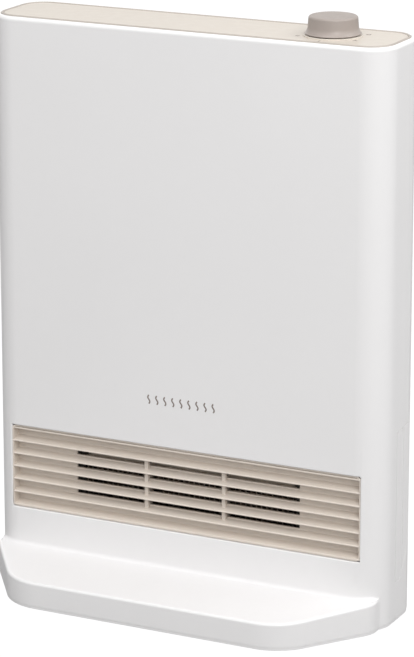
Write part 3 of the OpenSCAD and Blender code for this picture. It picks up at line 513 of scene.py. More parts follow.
def place_piece(bm, name, slot, body="housing", replaced=(), sharp=35.0, material=None):
    """Turns a finished bmesh into a piece that rides on a body."""
    mesh = bpy.data.meshes.new(name)
    bm.normal_update()
    bm.to_mesh(mesh)
    bm.free()
    mesh.polygons.foreach_set("use_smooth", [True] * len(mesh.polygons))
    mesh.set_sharp_from_angle(angle=math.radians(sharp))
    mesh.materials.append(finish_named(material or slot))
    piece = bpy.data.objects.new(name, mesh)
    bpy.context.scene.collection.objects.link(piece)
    weighted = piece.modifiers.new("Even shading", "WEIGHTED_NORMAL")
    weighted.keep_sharp = True
    weighted.weight = 100
    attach(piece, body)
    if replaced:
        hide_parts(*replaced)
    return piece


def grid_through(bm, rows):
    """Quad grid whose crossings stand at the given points, one list of points per row."""
    across, up = len(rows[0]), len(rows)
    made = bmesh.ops.create_grid(bm, x_segments=across - 1, y_segments=up - 1, size=1.0)["verts"]
    reach_x = max(v.co.x for v in made)
    reach_y = max(v.co.y for v in made)
    for vert in made:
        column = round((vert.co.x / reach_x + 1) / 2 * (across - 1))
        row = round((vert.co.y / reach_y + 1) / 2 * (up - 1))
        vert.co = rows[row][column]
    return made


def cut_across(bm, chosen, point, normal):
    """Cuts new edges where a plane crosses the chosen faces."""
    faces = [f for f in bm.faces if chosen(f)]
    edges = {e for f in faces for e in f.edges}
    verts = {v for f in faces for v in f.verts}
    bmesh.ops.bisect_plane(
        bm, geom=[*verts, *edges, *faces], dist=1e-6, plane_co=Vector(point), plane_no=Vector(normal)
    )


def clean_up(bm):
    bmesh.ops.remove_doubles(bm, verts=bm.verts, dist=1e-6)
    bmesh.ops.dissolve_degenerate(bm, edges=bm.edges, dist=1e-7)


def face_out(bm):
    bmesh.ops.recalc_face_normals(bm, faces=bm.faces)


def rounded_plate(bm, low, high, radius, at, steps=8, up="Z"):
    """Flat face with rounded corners between two corners of a plane, at a distance along the up axis."""
    made = bmesh.ops.create_grid(bm, x_segments=1, y_segments=1, size=1.0)["verts"]
    for vert in made:
        a = high[0] if vert.co.x > 0 else low[0]
        b = high[1] if vert.co.y > 0 else low[1]
        vert.co = (a, b, at) if up == "Z" else (a, at, b)
    face = made[0].link_faces[0]
    if radius > 0:
        bmesh.ops.bevel(
            bm, geom=made, offset=radius, offset_type="OFFSET", segments=steps, profile=0.5,
            affect="VERTICES", material=-1, clamp_overlap=False,
        )
        face = max(bm.faces, key=lambda f: f.calc_area())
    return face


def border_of(bm, face, width):
    """Insets a lone face, takes its middle away and returns the border's faces."""
    ring = bmesh.ops.inset_region(
        bm, faces=[face], thickness=width, use_even_offset=True, use_boundary=True
    )["faces"]
    bmesh.ops.delete(bm, geom=[face], context="FACES_ONLY")
    return ring


def raise_faces(bm, faces, offset):
    """Extrudes faces and moves the new ones by an offset; returns the moved faces."""
    made = bmesh.ops.extrude_face_region(bm, geom=faces)["geom"]
    moved = [g for g in made if isinstance(g, bmesh.types.BMVert)]
    bmesh.ops.translate(bm, vec=Vector(offset), verts=moved)
    return [g for g in made if isinstance(g, bmesh.types.BMFace)]


def round_edges(bm, edges, radius, steps=3, clamp=True):
    return bmesh.ops.bevel(
        bm, geom=list(edges), offset=radius, offset_type="OFFSET", segments=steps, profile=0.5,
        affect="EDGES", material=-1, clamp_overlap=clamp,
    )


def block(bm, low, high):
    """Box between two corners; returns its verts."""
    made = bmesh.ops.create_cube(bm, size=1.0)["verts"]
    for vert in made:
        vert.co = [high[i] if vert.co[i] > 0 else low[i] for i in range(3)]
    return made


def frame_copy(node, name, edge):
    """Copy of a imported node, joined and cleaned, with its edges rounded."""
    angle = 35.0
    bm = bmesh.new()
    bm.from_mesh(NODES[node].data)
    bmesh.ops.remove_doubles(bm, verts=bm.verts, dist=2e-6)
    bmesh.ops.dissolve_limit(
        bm, angle_limit=math.radians(0.4), use_dissolve_boundaries=False, verts=bm.verts, edges=bm.edges,
        delimit={"NORMAL"},
    )
    piece = place_piece(bm, name, SLOT_OF[node], "housing", (node,), angle)
    rounding = piece.modifiers.new("Rounded edges", "BEVEL")
    rounding.width = edge
    rounding.segments = 2
    rounding.limit_method = "ANGLE"
    rounding.angle_limit = math.radians(angle)
    rounding.use_clamp_overlap = True
    rounding.harden_normals = False
    piece.modifiers.move(1, 0)
    return piece


# ---------------------------------------------------------------- housing outline


def foot_outline(run, shell):
    """Point and outward direction on the right half of the foot's outline, a distance from its middle."""
    slant = shell.foot_slant
    arc = Vector((HALF_W - shell.foot_corner_in, FOOT_Y + shell.foot_r))
    side_x = HALF_W - shell.foot_inset - shell.foot_side_r
    drop = (side_x - arc.x) * math.tan(slant) + (shell.foot_side_r - shell.foot_r) / math.cos(slant)
    side = Vector((side_x, arc.y + drop))
    lean = Vector((math.sin(slant), -math.cos(slant)))
    start, end = arc + lean * shell.foot_r, side + lean * shell.foot_side_r
    if run < arc.x:
        return Vector((run, FOOT_Y)), Vector((0, -1))
    run -= arc.x
    if run < shell.foot_r * slant:
        turn = run / shell.foot_r
        out = Vector((math.sin(turn), -math.cos(turn)))
        return arc + out * shell.foot_r, out
    run -= shell.foot_r * slant
    if run < (end - start).length:
        return start + (end - start).normalized() * run, lean
    run -= (end - start).length
    if run < shell.foot_side_r * (math.pi / 2 - slant):
        turn = slant + run / shell.foot_side_r
        out = Vector((math.sin(turn), -math.cos(turn)))
        return side + out * shell.foot_side_r, out
    run -= shell.foot_side_r * (math.pi / 2 - slant)
    return Vector((HALF_W - shell.foot_inset, side.y + run)), Vector((1, 0))


def merge_turn(shell):
    """Turn round the housing's front corner at which the foot's side runs into it."""
    return math.asin(1 - shell.foot_inset / shell.corner_r)


def foot_run(shell):
    """Length of that outline up to the housing's front corner."""
    slant = shell.foot_slant
    arc_x = HALF_W - shell.foot_corner_in
    side_x = HALF_W - shell.foot_inset - shell.foot_side_r
    drop = (side_x - arc_x) * math.tan(slant) + (shell.foot_side_r - shell.foot_r) / math.cos(slant)
    side_y = FOOT_Y + shell.foot_r + drop
    straight = math.hypot(
        side_x - arc_x + (shell.foot_side_r - shell.foot_r) * math.sin(slant),
        drop - (shell.foot_side_r - shell.foot_r) * math.cos(slant),
    )
    back = shell.face_y + shell.corner_r * (1 - math.cos(merge_turn(shell))) - side_y
    return arc_x + shell.foot_r * slant + straight + shell.foot_side_r * (math.pi / 2 - slant) + back


def front_columns(shell, outlet):
    """Columns round the right half of the front housing: (wall point, out, foot point, out)."""
    r = shell.corner_r
    flat = HALF_W - r
    total = foot_run(shell)
    arc_x = HALF_W - shell.foot_corner_in
    columns = []
    for x in (0.0, 0.03, 0.06):
        columns.append((Vector((x, shell.face_y)), Vector((0, -1)), *foot_outline(x, shell)))
    turn_at = arc_x + shell.foot_r * shell.foot_slant + 0.018
    steps = 20
    for i in range(steps):
        part = i / steps
        wall = Vector((arc_x + (flat - arc_x) * part, shell.face_y))
        columns.append((wall, Vector((0, -1)), *foot_outline(arc_x + (turn_at - arc_x) * part, shell)))
    centre = Vector((flat, shell.face_y + r))
    merge = merge_turn(shell)
    edge = math.asin((outlet.half_w - flat) / r)
    turns = [edge * i / 6 for i in range(6)] + [edge + (merge - edge) * i / 15 for i in range(16)]
    for turn in turns:
        out = Vector((math.sin(turn), -math.cos(turn)))
        foot, foot_out = foot_outline(turn_at + (total - turn_at) * turn / merge, shell)
        columns.append((centre + out * r, out, foot, foot_out))
    steps = 7
    for i in range(1, steps + 1):
        turn = merge + (math.pi / 2 - merge) * i / steps
        out = Vector((math.sin(turn), -math.cos(turn)))
        columns.append((centre + out * r, out, centre + out * r, out.copy()))
    for y in side_stations(shell):
        out, x = side_wall(y, shell)
        wall = Vector((x, y))
        if y > SEAM_Y - 1e-6:
            out = Vector((1 / out.x, 0))
        columns.append((wall, out, wall.copy(), out.copy()))
    return columns


def side_stations(shell):
    """Depths of the columns along the side, up to the seam, with one at each edge of the recess."""
    flutes = recess_bays(shell)
    stations = {round(edge, 6) for bay in flutes for edge in bay}
    rear = BACK_Y - shell.corner_r
    stations |= {round(rear, 6), round(SEAM_Y, 6), round(rear + 0.0012, 6), round(SEAM_Y - 0.0009, 6)}
    return sorted(stations)


def recess_bays(shell):
    """Spans of the recess between its flutes."""
    front = shell.recess_y
    return [(front, front + 0.0096), (front + 0.0116, front + 0.0202), (front + 0.0222, SEAM_Y - 0.002)]


def side_wall(y, shell):
    """Outward direction and half width of the housing at a depth behind the front corner."""
    r = shell.corner_r
    rear = BACK_Y - r
    if y <= rear:
        return Vector((1, 0)), HALF_W
    turn = math.asin((y - rear) / r)
    return Vector((math.cos(turn), math.sin(turn))), HALF_W - r + r * math.cos(turn)


def rim_steps(shell):
    """(inset, height) pairs over the rounded top rim and down to the ledge inside it."""
    steps = 6
    r = shell.rim_round
    over = [
        (r * (1 - math.cos(a)), TOP_Z - r * (1 - math.sin(a)))
        for a in (math.pi / 2 * i / steps for i in range(steps + 1))
    ]
    return over + [
        (shell.rim_w - 0.0002, TOP_Z), (shell.rim_w, TOP_Z - 0.0002),
        (shell.rim_w, TOP_Z - 0.006), (shell.wall, TOP_Z - 0.0068),
    ]


WALL_HEIGHTS = (0.031, 0.040, 0.145, 0.250, 0.350)


def front_section(column, shell):
    """Points up one section: foot, ramp, crease, wall, rim, and down the inside."""
    wall, out, foot, foot_out = column
    slope = (shell.crease_h - shell.foot_h) / (shell.face_y - FOOT_Y)
    last = shell.face_y + shell.corner_r

    def ramp_z(at):
        return shell.foot_h + slope * (min(at.y, last) - FOOT_Y)

    gap = (foot - wall).length
    reach = min(1.0, gap / 0.003)
    reach = reach * reach * (3 - 2 * reach)
    edge_r = min(shell.edge_round, 0.45 * gap)
    crease_r = max(0.0, min(shell.crease_round, 0.45 * (foot - wall).dot(out)))
    outline = [(foot, SHELL_Z), (foot, ramp_z(foot) * 0.5)]
    bends = []
    for i in range(6):
        a = math.pi / 2 * i / 5
        at = foot - foot_out * edge_r * (1 - math.cos(a))
        bends.append((at, ramp_z(at) - edge_r * (1 - math.sin(a))))
    inner = foot - foot_out * edge_r
    outer = wall + out * crease_r
    for part in (0.25, 0.5, 0.75):
        at = inner.lerp(outer, part)
        bends.append((at, ramp_z(at)))
    for i in range(6):
        a = math.pi / 2 * i / 5
        at = wall + out * crease_r * (1 - math.sin(a))
        bends.append((at, ramp_z(at) + crease_r * (1 - math.cos(a))))
    middle = (len(bends) - 1) / 2
    outline += [(at, z + (i - middle) * 0.0003 * (1 - reach)) for i, (at, z) in enumerate(bends)]
    outline += [(wall, z) for z in WALL_HEIGHTS]
    outline += [(wall - out * inset, z) for inset, z in rim_steps(shell)]
    inside = wall - out * shell.wall
    outline += [(inside, z) for z in reversed(WALL_HEIGHTS)]
    foot_inside = foot - foot_out * shell.wall
    under = ramp_z(inside) - shell.wall
    outline.append((inside, under + 0.0008 * (1 - reach)))
    outline.append((foot_inside, ramp_z(foot_inside) - shell.wall - 0.0008 * (1 - reach)))
    outline.append((foot_inside, SHELL_Z))
    outline.append((foot, SHELL_Z))
    return [Vector((at.x, at.y, z)) for at, z in outline]


def mirrored(columns):
    """The same columns on the left, in order from the left seam to the middle."""
    flip = []
    for column in reversed(columns):
        flip.append(tuple(Vector((-part.x, part.y)) for part in column))
    return flip


def skin_depth(at, shell):
    """How far a point lies inside the housing's outline."""
    x, r = abs(at.x), shell.corner_r
    flat = HALF_W - r
    if x > flat and at.y > BACK_Y - r:
        return r - math.hypot(x - flat, at.y - (BACK_Y - r))
    if x > flat and at.y < shell.face_y + r:
        return r - math.hypot(x - flat, at.y - (shell.face_y + r))
    return min(HALF_W - x, at.y - shell.face_y, BACK_Y - at.y)


# ---------------------------------------------------------------- front housing


def cut_outlet(bm, shell, outlet):
    """Opens the outlet through the front wall and rounds its corners and outer edge."""
    half, low, high = outlet.half_w, outlet.low_z, outlet.high_z

    def front_wall(face):
        at = face.calc_center_median()
        return at.y < shell.face_y + 0.006 and 0.0305 < at.z < 0.2 and abs(at.x) < half + 0.006

    for side in (-half, half):
        cut_across(bm, front_wall, (side, 0, 0), (1, 0, 0))
    for z in (low, high):
        cut_across(bm, front_wall, (0, 0, z), (0, 0, 1))
    doomed = []
    for face in bm.faces:
        at = face.calc_center_median()
        if front_wall(face) and abs(at.x) < half and low < at.z < high:
            doomed.append(face)
    bmesh.ops.delete(bm, geom=doomed, context="FACES")
    bmesh.ops.bridge_loops(bm, edges=[e for e in bm.edges if e.is_boundary])
    corners = []
    for edge in bm.edges:
        middle = (edge.verts[0].co + edge.verts[1].co) / 2
        along = abs(edge.verts[0].co.y - edge.verts[1].co.y)
        near = min(abs(middle.z - low), abs(middle.z - high))
        if abs(abs(middle.x) - half) < 1e-5 and near < 1e-5 and along > shell.wall / 2:
            corners.append(edge)
    round_edges(bm, corners, outlet.corner, 6, False)
    rim = []
    bm.normal_update()
    for edge in bm.edges:
        if len(edge.link_faces) != 2:
            continue
        ends = [v.co for v in edge.verts]
        if max(abs(p.x) for p in ends) > half + 1e-4 or max(p.y for p in ends) > shell.face_y + 0.0008:
            continue
        if not all(low - 1e-4 < p.z < high + 1e-4 for p in ends):
            continue
        facing = sorted(abs(f.normal.y) for f in edge.link_faces)
        if facing[0] < 0.3 and facing[1] > 0.7:
            rim.append(edge)
    round_edges(bm, rim, outlet.rim_round, 3, False)


def recess_shape(shell, margin):
    """Corners of the side recess in depth and height, grown by a margin."""
    front, back = shell.recess_y, SEAM_Y - 0.002
    return [
        (front - margin, 0.030 - margin), (front + 0.008, 0.030 - margin),
        (back + margin, 0.057 - margin), (back + margin, 0.140 + margin), (front - margin, 0.1375 + margin),
    ]


def in_shape(y, z, shape):
    """True if a point lies inside a convex shape given anticlockwise."""
    for (ay, az), (by, bz) in zip(shape, shape[1:] + shape[:1]):
        if (by - ay) * (z - az) - (bz - az) * (y - ay) < 0:
            return False
    return True


def sink_side_recess(bm, shell, side):
    """Sinks the recess low on one side, leaving its flutes standing, with a matching step inside."""

    def on_side(face, skin, shape):
        at = face.calc_center_median()
        if at.x * side < 0.13 or at.y < shell.face_y + 0.021 or not 0.02 < at.z < 0.15:
            return False
        deep = skin_depth(at, shell) > shell.wall / 2
        return deep == skin and (shape is None or in_shape(at.y, at.z, shape))

    for skin, margin in ((False, 0.0), (True, 0.0018)):
        shape = recess_shape(shell, margin)
        if skin:
            shape = [(y if y < 0.04 else SEAM_Y - 0.0042, z) for y, z in shape]
        for (ay, az), (by, bz) in zip(shape, shape[1:] + shape[:1]):
            cut_across(bm, lambda f: on_side(f, skin, None), (0, ay, az), (0, bz - az, ay - by))
        if skin:
            sunk = [f for f in bm.faces if on_side(f, True, shape)]
            bmesh.ops.inset_region(
                bm, faces=sunk, thickness=0.0003, depth=shell.recess_depth, use_even_offset=True,
                use_boundary=True,
            )
            continue
        for low, high in recess_bays(shell):
            sunk = [
                f for f in bm.faces
                if on_side(f, False, shape) and low < f.calc_center_median().y < high
            ]
            walls = bmesh.ops.inset_region(
                bm, faces=sunk, thickness=0.0002, depth=-shell.recess_depth, use_even_offset=True,
                use_boundary=True,
            )["faces"]
            inner = set(sunk)
            lips = {
                e for f in walls for e in f.edges
                if len([g for g in e.link_faces if g in walls]) == 1
                and not any(g in inner for g in e.link_faces)
            }
            round_edges(bm, lips, 0.0003, 2)


def build_front_housing(shell, outlet):
    right = front_columns(shell, outlet)
    columns = mirrored(right[1:]) + right
    sections = [front_section(column, shell) for column in columns]
    rows = [list(row) for row in zip(*sections)]
    bm = bmesh.new()
    grid_through(bm, rows)
    clean_up(bm)
    bmesh.ops.holes_fill(bm, edges=[e for e in bm.edges if e.is_boundary], sides=0)
    face_out(bm)
    cut_outlet(bm, shell, outlet)
    for side in (-1, 1):
        sink_side_recess(bm, shell, side)
    for vert in bm.verts:
        vert.co.x = max(-HALF_W, min(HALF_W, vert.co.x))
    clean_up(bm)
    return place_piece(bm, "front_shell", "housing", "housing", ("front_housing",), 32.0)


# ---------------------------------------------------------------- top


def build_trim_ring(shell):
    """Rounded ridge between the white rim and the top panel."""
    bm = bmesh.new()
    low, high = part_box("top_trim_ring")
    inset = HALF_W - high.x
    radius = shell.corner_r - inset
    face = rounded_plate(bm, (low.x, low.y), (high.x, high.y), radius, low.z, 16)
    ring = border_of(bm, face, 0.0019)
    raise_faces(bm, ring, (0, 0, high.z - low.z))
    top = high.z - 1e-6
    crest = [
        e for e in bm.edges
        if all(v.co.z > top for v in e.verts) and any(abs(f.normal.z) < 0.5 for f in e.link_faces)
    ]
    bm.normal_update()
    crest = [
        e for e in bm.edges
        if all(v.co.z > top for v in e.verts) and any(abs(f.normal.z) < 0.5 for f in e.link_faces)
    ]
    round_edges(bm, crest, 0.0009, 4, False)
    face_out(bm)
    return place_piece(bm, "trim_ring", "trim", "housing", ("top_trim_ring",), 50.0)


def spun(bm, profile, centre, steps):
    """Spins a profile of (radius, height) round an upright axis."""
    points = [bm.verts.new((centre[0] + r, centre[1], z)) for r, z in profile]
    edges = [bm.edges.new(pair) for pair in zip(points, points[1:])]
    bmesh.ops.spin(
        bm, geom=[*points, *edges], cent=Vector((centre[0], centre[1], 0)), axis=Vector((0, 0, 1)),
        angle=math.tau, steps=steps, use_merge=True, use_duplicate=False,
    )
    bmesh.ops.remove_doubles(bm, verts=bm.verts, dist=1e-6)
    face_out(bm)


def arc_points(centre, radius, start, end, steps):
    """Points of (radius, height) along an arc between two angles in degrees."""
    turns = [math.radians(start + (end - start) * i / steps) for i in range(steps + 1)]
    return [(centre[0] + radius * math.cos(a), centre[1] + radius * math.sin(a)) for a in turns]


def build_knob(control):
    low, high = KNOB_LOW.z, KNOB_HIGH.z
    radius = (KNOB_HIGH.x - KNOB_LOW.x) / 2
    crown = control.neck - control.taper
    round_r = control.crown_round
    bore = 0.00305
    hub = 0.0056
    inner = control.neck - control.skin
    lip = 0.0004
    spread = radius - control.neck
    flare_r = (control.flare ** 2 + spread ** 2) / (2 * spread)
    flare_end = math.degrees(math.asin(control.flare / flare_r))
    ceiling = high - control.skin
    socket = high - 0.0032
    profile = [(0, high), (crown * 0.5, high)]
    profile += arc_points((crown - round_r, high - round_r), round_r, 90, 0, 7)
    flare_centre = (control.neck + flare_r, low + lip + control.flare)
    profile += arc_points(flare_centre, flare_r, 180, 180 + flare_end, 7)
    profile += arc_points((radius - lip, low + lip), lip, 0, -90, 3)[1:]
    profile += [(inner, low), (inner, ceiling), (hub, ceiling), (hub, low)]
    profile += [(bore, low), (bore, socket), (0, socket)]
    bm = bmesh.new()
    spun(bm, profile, (KNOB_X, KNOB_Y), 72)
    return place_piece(bm, "knob", "knob", "control", ("control_knob",), 40.0)


def build_collar():
    low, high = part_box("knob_collar")
    radius = (high.x - low.x) / 2
    lip = 0.0004
    profile = [(0.0074, low.z), (0.0074, high.z), (radius - lip, high.z)]
    profile += arc_points((radius - lip, high.z - lip), lip, 90, 0, 3)[1:]
    profile += [(radius, low.z), (0.0074, low.z)]
    bm = bmesh.new()
    spun(bm, profile, (KNOB_X, KNOB_Y), 72)
    return place_piece(bm, "collar", "panel", "housing", ("knob_collar",), 40.0)


# ---------------------------------------------------------------- grille


def louvre_blade(bm, tip_z, outlet, face_y):
    """One louvre: a rounded tip and a shelf that curves up into the back wall."""
    t = outlet.thickness
    front, back = face_y + 0.0012, face_y + outlet.back
    half = outlet.half_w - 0.0004
    slope = math.atan2(outlet.rise - t / 4, back - front)
    arc_y = back - outlet.fillet
    arc_z = tip_z + t / 4 + (arc_y - front) * math.tan(slope) + outlet.fillet / math.cos(slope)
    outline = [(front, tip_z - t / 2), (front, tip_z + t / 4)]
    for i in range(9):
        turn = slope + (math.pi / 2 - slope) * i / 8
        outline.append((arc_y + outlet.fillet * math.sin(turn), arc_z - outlet.fillet * math.cos(turn)))
    outline += [(back + 0.0005, arc_z), (back + 0.0005, tip_z + outlet.rise - t)]
    face = bm.faces.new([bm.verts.new((-half, y, z)) for y, z in outline])
    raise_faces(bm, [face], (2 * half, 0, 0))
    noses = [
        e for e in bm.edges
        if all(abs(v.co.y - front) < 1e-7 and abs(v.co.z - tip_z) < t for v in e.verts)
        and abs(e.verts[0].co.x - e.verts[1].co.x) > half
    ]
    round_edges(bm, noses, t * 0.34, 3, False)


def build_grille(shell, outlet):
    gap, wall, sheet_t = 0.0003, outlet.lining, 0.0014
    low = (-outlet.half_w + gap, outlet.low_z + gap)
    high = (outlet.half_w - gap, outlet.high_z - gap)
    front, back = shell.face_y + 0.0012, shell.face_y + 0.012
    corner = outlet.corner - gap
    bm = bmesh.new()
    # Frame that lines the opening
    face = rounded_plate(bm, low, high, corner, back, 6, "Y")
    ring = border_of(bm, face, wall)
    raise_faces(bm, ring, (0, front - back, 0))
    bm.normal_update()
    edges = [
        e for e in bm.edges
        if all(v.co.y < front + 1e-6 for v in e.verts) and any(abs(f.normal.y) < 0.5 for f in e.link_faces)
    ]
    round_edges(bm, edges, 0.0003, 2, False)
    # Louvres
    for i in range(outlet.channels + 1):
        louvre_blade(bm, outlet.first_tip + i * outlet.pitch, outlet, shell.face_y)
    # Back wall with its rows of slots
    face_out(bm)
    wall_front = shell.face_y + outlet.back - 0.0001
    xs = [low[0] + wall / 2, -outlet.slot_reach]
    xs += [-outlet.rib_x - outlet.rib_w / 2, -outlet.rib_x + outlet.rib_w / 2]
    xs += [-x for x in reversed(xs)]
    zs = [low[1] + wall / 2]
    for i in range(1, outlet.channels - 1):
        base = outlet.first_tip + i * outlet.pitch
        zs += [base + outlet.slot_low, base + outlet.pitch + outlet.rise - outlet.thickness - 0.0006]
    zs.append(high[1] - wall / 2)
    sheet = bmesh.new()
    grid_through(sheet, [[Vector((x, wall_front, z)) for x in xs] for z in zs])
    openings = []
    for face in sheet.faces:
        at = face.calc_center_median()
        column = max(i for i, x in enumerate(xs) if x < at.x)
        row = max(i for i, z in enumerate(zs) if z < at.z)
        if row % 2 == 1 and column in (1, 3, 5):
            openings.append(face)
    bmesh.ops.delete(sheet, geom=openings, context="FACES")
    bmesh.ops.recalc_face_normals(sheet, faces=sheet.faces)
    if sum(f.normal.y for f in sheet.faces) > 0:
        bmesh.ops.reverse_faces(sheet, faces=sheet.faces)
    bmesh.ops.solidify(sheet, geom=list(sheet.faces), thickness=sheet_t)
    scratch = bpy.data.meshes.new("scratch")
    sheet.to_mesh(scratch)
    sheet.free()
    bm.from_mesh(scratch)
    bpy.data.meshes.remove(scratch)
    # Upright ribs
    for side in (-1, 1):
        x = side * outlet.rib_x
        made = block(
            bm, (x - outlet.rib_w / 2, shell.face_y + outlet.rib_front, outlet.first_tip + outlet.pitch),
            (x + outlet.rib_w / 2, back, outlet.first_tip + (outlet.channels - 1) * outlet.pitch),
        )
        nose = {
            e for v in made for e in v.link_edges
            if all(w.co.y < shell.face_y + outlet.rib_front + 0.0005 for w in e.verts)
        }
        round_edges(bm, [e for e in nose if abs(e.verts[0].co.z - e.verts[1].co.z) > 0.01], 0.0005, 2, False)
    return place_piece(bm, "grille", "grille", "housing", ("outlet_grille",), 35.0)


# ---------------------------------------------------------------- printed marks


def stroke(bm, points, width, at, thickness, up):
    """Flat printed line along points of a plane, as a thin solid; up is the plane's own axis."""
    points = [Vector(p) for p in points]
    sides = []
    for i, p in enumerate(points):
        ahead = points[min(i + 1, len(points) - 1)]
        behind = points[max(i - 1, 0)]
        run = (ahead - behind).normalized()
        across = Vector((-run.y, run.x)) * width / 2
        sides.append((p - across, p + across))

    def lift(p):
        return Vector((p.x, p.y, at)) if up == "Z" else Vector((p.x, at, p.y))

    made = grid_through(bm, [[lift(a) for a, _ in sides], [lift(b) for _, b in sides]])
    faces = list({f for v in made for f in v.link_faces})
    move = (0, 0, thickness) if up == "Z" else (0, -thickness, 0)
    raise_faces(bm, faces, move)


def circle_points(radius):
    turns = [math.radians(15.0 * i) for i in range(25)]
    return [(radius * math.cos(turn), radius * math.sin(turn)) for turn in turns]


def dial_symbols(size):
    """Strokes of the four dial marks: off, cool air, one and two."""
    half = size / 2
    blades = []
    for turn in (90, 210, 330):
        a = math.radians(turn)
        out = Vector((math.cos(a), math.sin(a)))
        across = Vector((-out.y, out.x))
        swell = out * half * 0.6 + across * half * 0.25
        blades.append([out * half * 0.15, swell, out * half + across * half * 0.1])
    return [
        [circle_points(half * 0.8)],
        blades,
        [[(0, -half), (0, half)]],
        [[(-half * 0.4, -half), (-half * 0.4, half)], [(half * 0.4, -half), (half * 0.4, half)]],
    ]


def build_dial_marks(control):
    bm = bmesh.new()
    for i, symbol in enumerate(dial_symbols(control.mark_size)):
        turn = control.first_mark - i * control.mark_step
        out = Vector((math.cos(turn), math.sin(turn)))
        centre = Vector((KNOB_X, KNOB_Y)) + control.mark_ring * out
        for line in symbol:
            stroke(bm, [centre + Vector(p) for p in line], 0.0007, PANEL_Z + 0.00001, 0.00004, "Z")
    face_out(bm)
    return place_piece(bm, "dial_marks", "trim", "housing", (), 40.0, "marks")


def build_warm_air_mark(shell):
    """Row of rising waves on the front face, a plain sign for warm air."""
    bm = bmesh.new()
    count, pitch, height = 9, 0.0062, 0.0062
    for i in range(count):
        x = (i - (count - 1) / 2) * pitch
        line = [
            (x + 0.0008 * math.sin(math.tau * t / 12), 0.145 + height * (t / 12 - 0.5)) for t in range(13)
        ]
        stroke(bm, line, 0.0010, shell.face_y - 0.00001, 0.00004, "Y")
    face_out(bm)
    return place_piece(bm, "warm_air_mark", "trim", "housing", (), 40.0, "marks")


# ---------------------------------------------------------------- operators


class HEATER_OT_front_housing(bpy.types.Operator):
    """Builds the white front housing with its foot, outlet opening and side recesses"""

    bl_idname = "heater.front_housing"
    bl_label = "Front Housing"

    def execute(self, context):
        build_front_housing(context.scene.heater_shell, context.scene.heater_outlet)
        return {"FINISHED"}


class HEATER_OT_back_and_base(bpy.types.Operator):
    """Finishes the back cover, base plate, feet and cord gland"""

    bl_idname = "heater.back_and_base"
    bl_label = "Back and Base"

    def execute(self, context):
        frame_copy("back_cover", "rear_cover", 0.0003)
        frame_copy("base_plate", "floor_plate", 0.0003)
        frame_copy("rubber_feet", "rubber_pads", 0.0003)
        frame_copy("cord_gland", "gland", 0.0003)
        return {"FINISHED"}


class HEATER_OT_top(bpy.types.Operator):
    """Builds the trim ring and the cream top panel"""

    bl_idname = "heater.top"
    bl_label = "Top Panel"

    def execute(self, context):
        build_trim_ring(context.scene.heater_shell)
        frame_copy("top_panel", "cream_panel", 0.0004)
        return {"FINISHED"}


class HEATER_OT_control(bpy.types.Operator):
    """Builds the knob, its collar and the dial marks"""

    bl_idname = "heater.control"
    bl_label = "Control"

    def execute(self, context):
        build_knob(context.scene.heater_control)
        build_collar()
        build_dial_marks(context.scene.heater_control)
        return {"FINISHED"}


class HEATER_OT_grille(bpy.types.Operator):
    """Builds the louvred outlet grille"""

    bl_idname = "heater.grille"
    bl_label = "Outlet Grille"

    def execute(self, context):
        build_grille(context.scene.heater_shell, context.scene.heater_outlet)
        return {"FINISHED"}


class HEATER_OT_front_mark(bpy.types.Operator):
    """Prints the row of waves on the front face"""

    bl_idname = "heater.front_mark"
    bl_label = "Front Mark"

    def execute(self, context):
        build_warm_air_mark(context.scene.heater_shell)
        return {"FINISHED"}


class HEATER_OT_inner_parts(bpy.types.Operator):
    """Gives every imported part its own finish"""

    bl_idname = "heater.inner_parts"
    bl_label = "Inner Parts"

    def execute(self, context):
        for node, part in NODES.items():
            for place in part.material_slots:
                place.material = finish_named(SLOT_OF[node])
        return {"FINISHED"}


class HEATER_OT_stage(bpy.types.Operator):
    """Sets up the pale floor, the soft lights and the camera"""

    bl_idname = "heater.stage"
    bl_label = "Stage"

    def execute(self, context):
        build_floor()
        build_lights()
        build_camera()
        return {"FINISHED"}


# ---------------------------------------------------------------- stage


def camera_only(tree, first, second):
    """Mixes two shaders: the first lights the scene, and the second is what the camera sees."""
    seen = add_node(tree, "ShaderNodeLightPath").outputs["Is Camera Ray"]
    mixer = add_node(tree, "ShaderNodeMixShader")
    tree.links.new(seen, mixer.inputs[0])
    tree.links.new(first, mixer.inputs[1])
    tree.links.new(second, mixer.inputs[2])
    return mixer.outputs[0]


def build_floor():
    bm = bmesh.new()
    bmesh.ops.create_grid(bm, x_segments=8, y_segments=8, size=6.0)
    mesh = bpy.data.meshes.new("floor")
    bm.to_mesh(mesh)
    bm.free()
    material, tree, shader, place = start_material("Pale floor")
    cloud = add_texture(tree, "ShaderNodeTexNoise", place, 2.0)
    pale = mix_colours(tree, cloud.outputs["Fac"], (0.30, 0.30, 0.30), (0.28, 0.28, 0.28))
    tree.links.new(pale, shader.inputs["Base Color"])
    shader.inputs["Roughness"].default_value = 0.9
    glow = add_node(tree, "ShaderNodeEmission")
    glow.inputs["Strength"].default_value = 1.05
    tree.links.new(
        camera_only(tree, shader.outputs["BSDF"], glow.outputs[0]),
        tree.nodes["Material Output"].inputs["Surface"],
    )
    mesh.materials.append(material)
    floor = bpy.data.objects.new("floor", mesh)
    bpy.context.scene.collection.objects.link(floor)


def add_light(name, place, target, size, power):
    data = bpy.data.lights.new(name, "AREA")
    data.shape = "RECTANGLE"
    data.size, data.size_y = size
    data.energy = power
    lamp = bpy.data.objects.new(name, data)
    lamp.location = place
    lamp.rotation_mode = "QUATERNION"
    lamp.rotation_quaternion = (Vector(target) - Vector(place)).to_track_quat("-Z", "Y")
    bpy.context.scene.collection.objects.link(lamp)


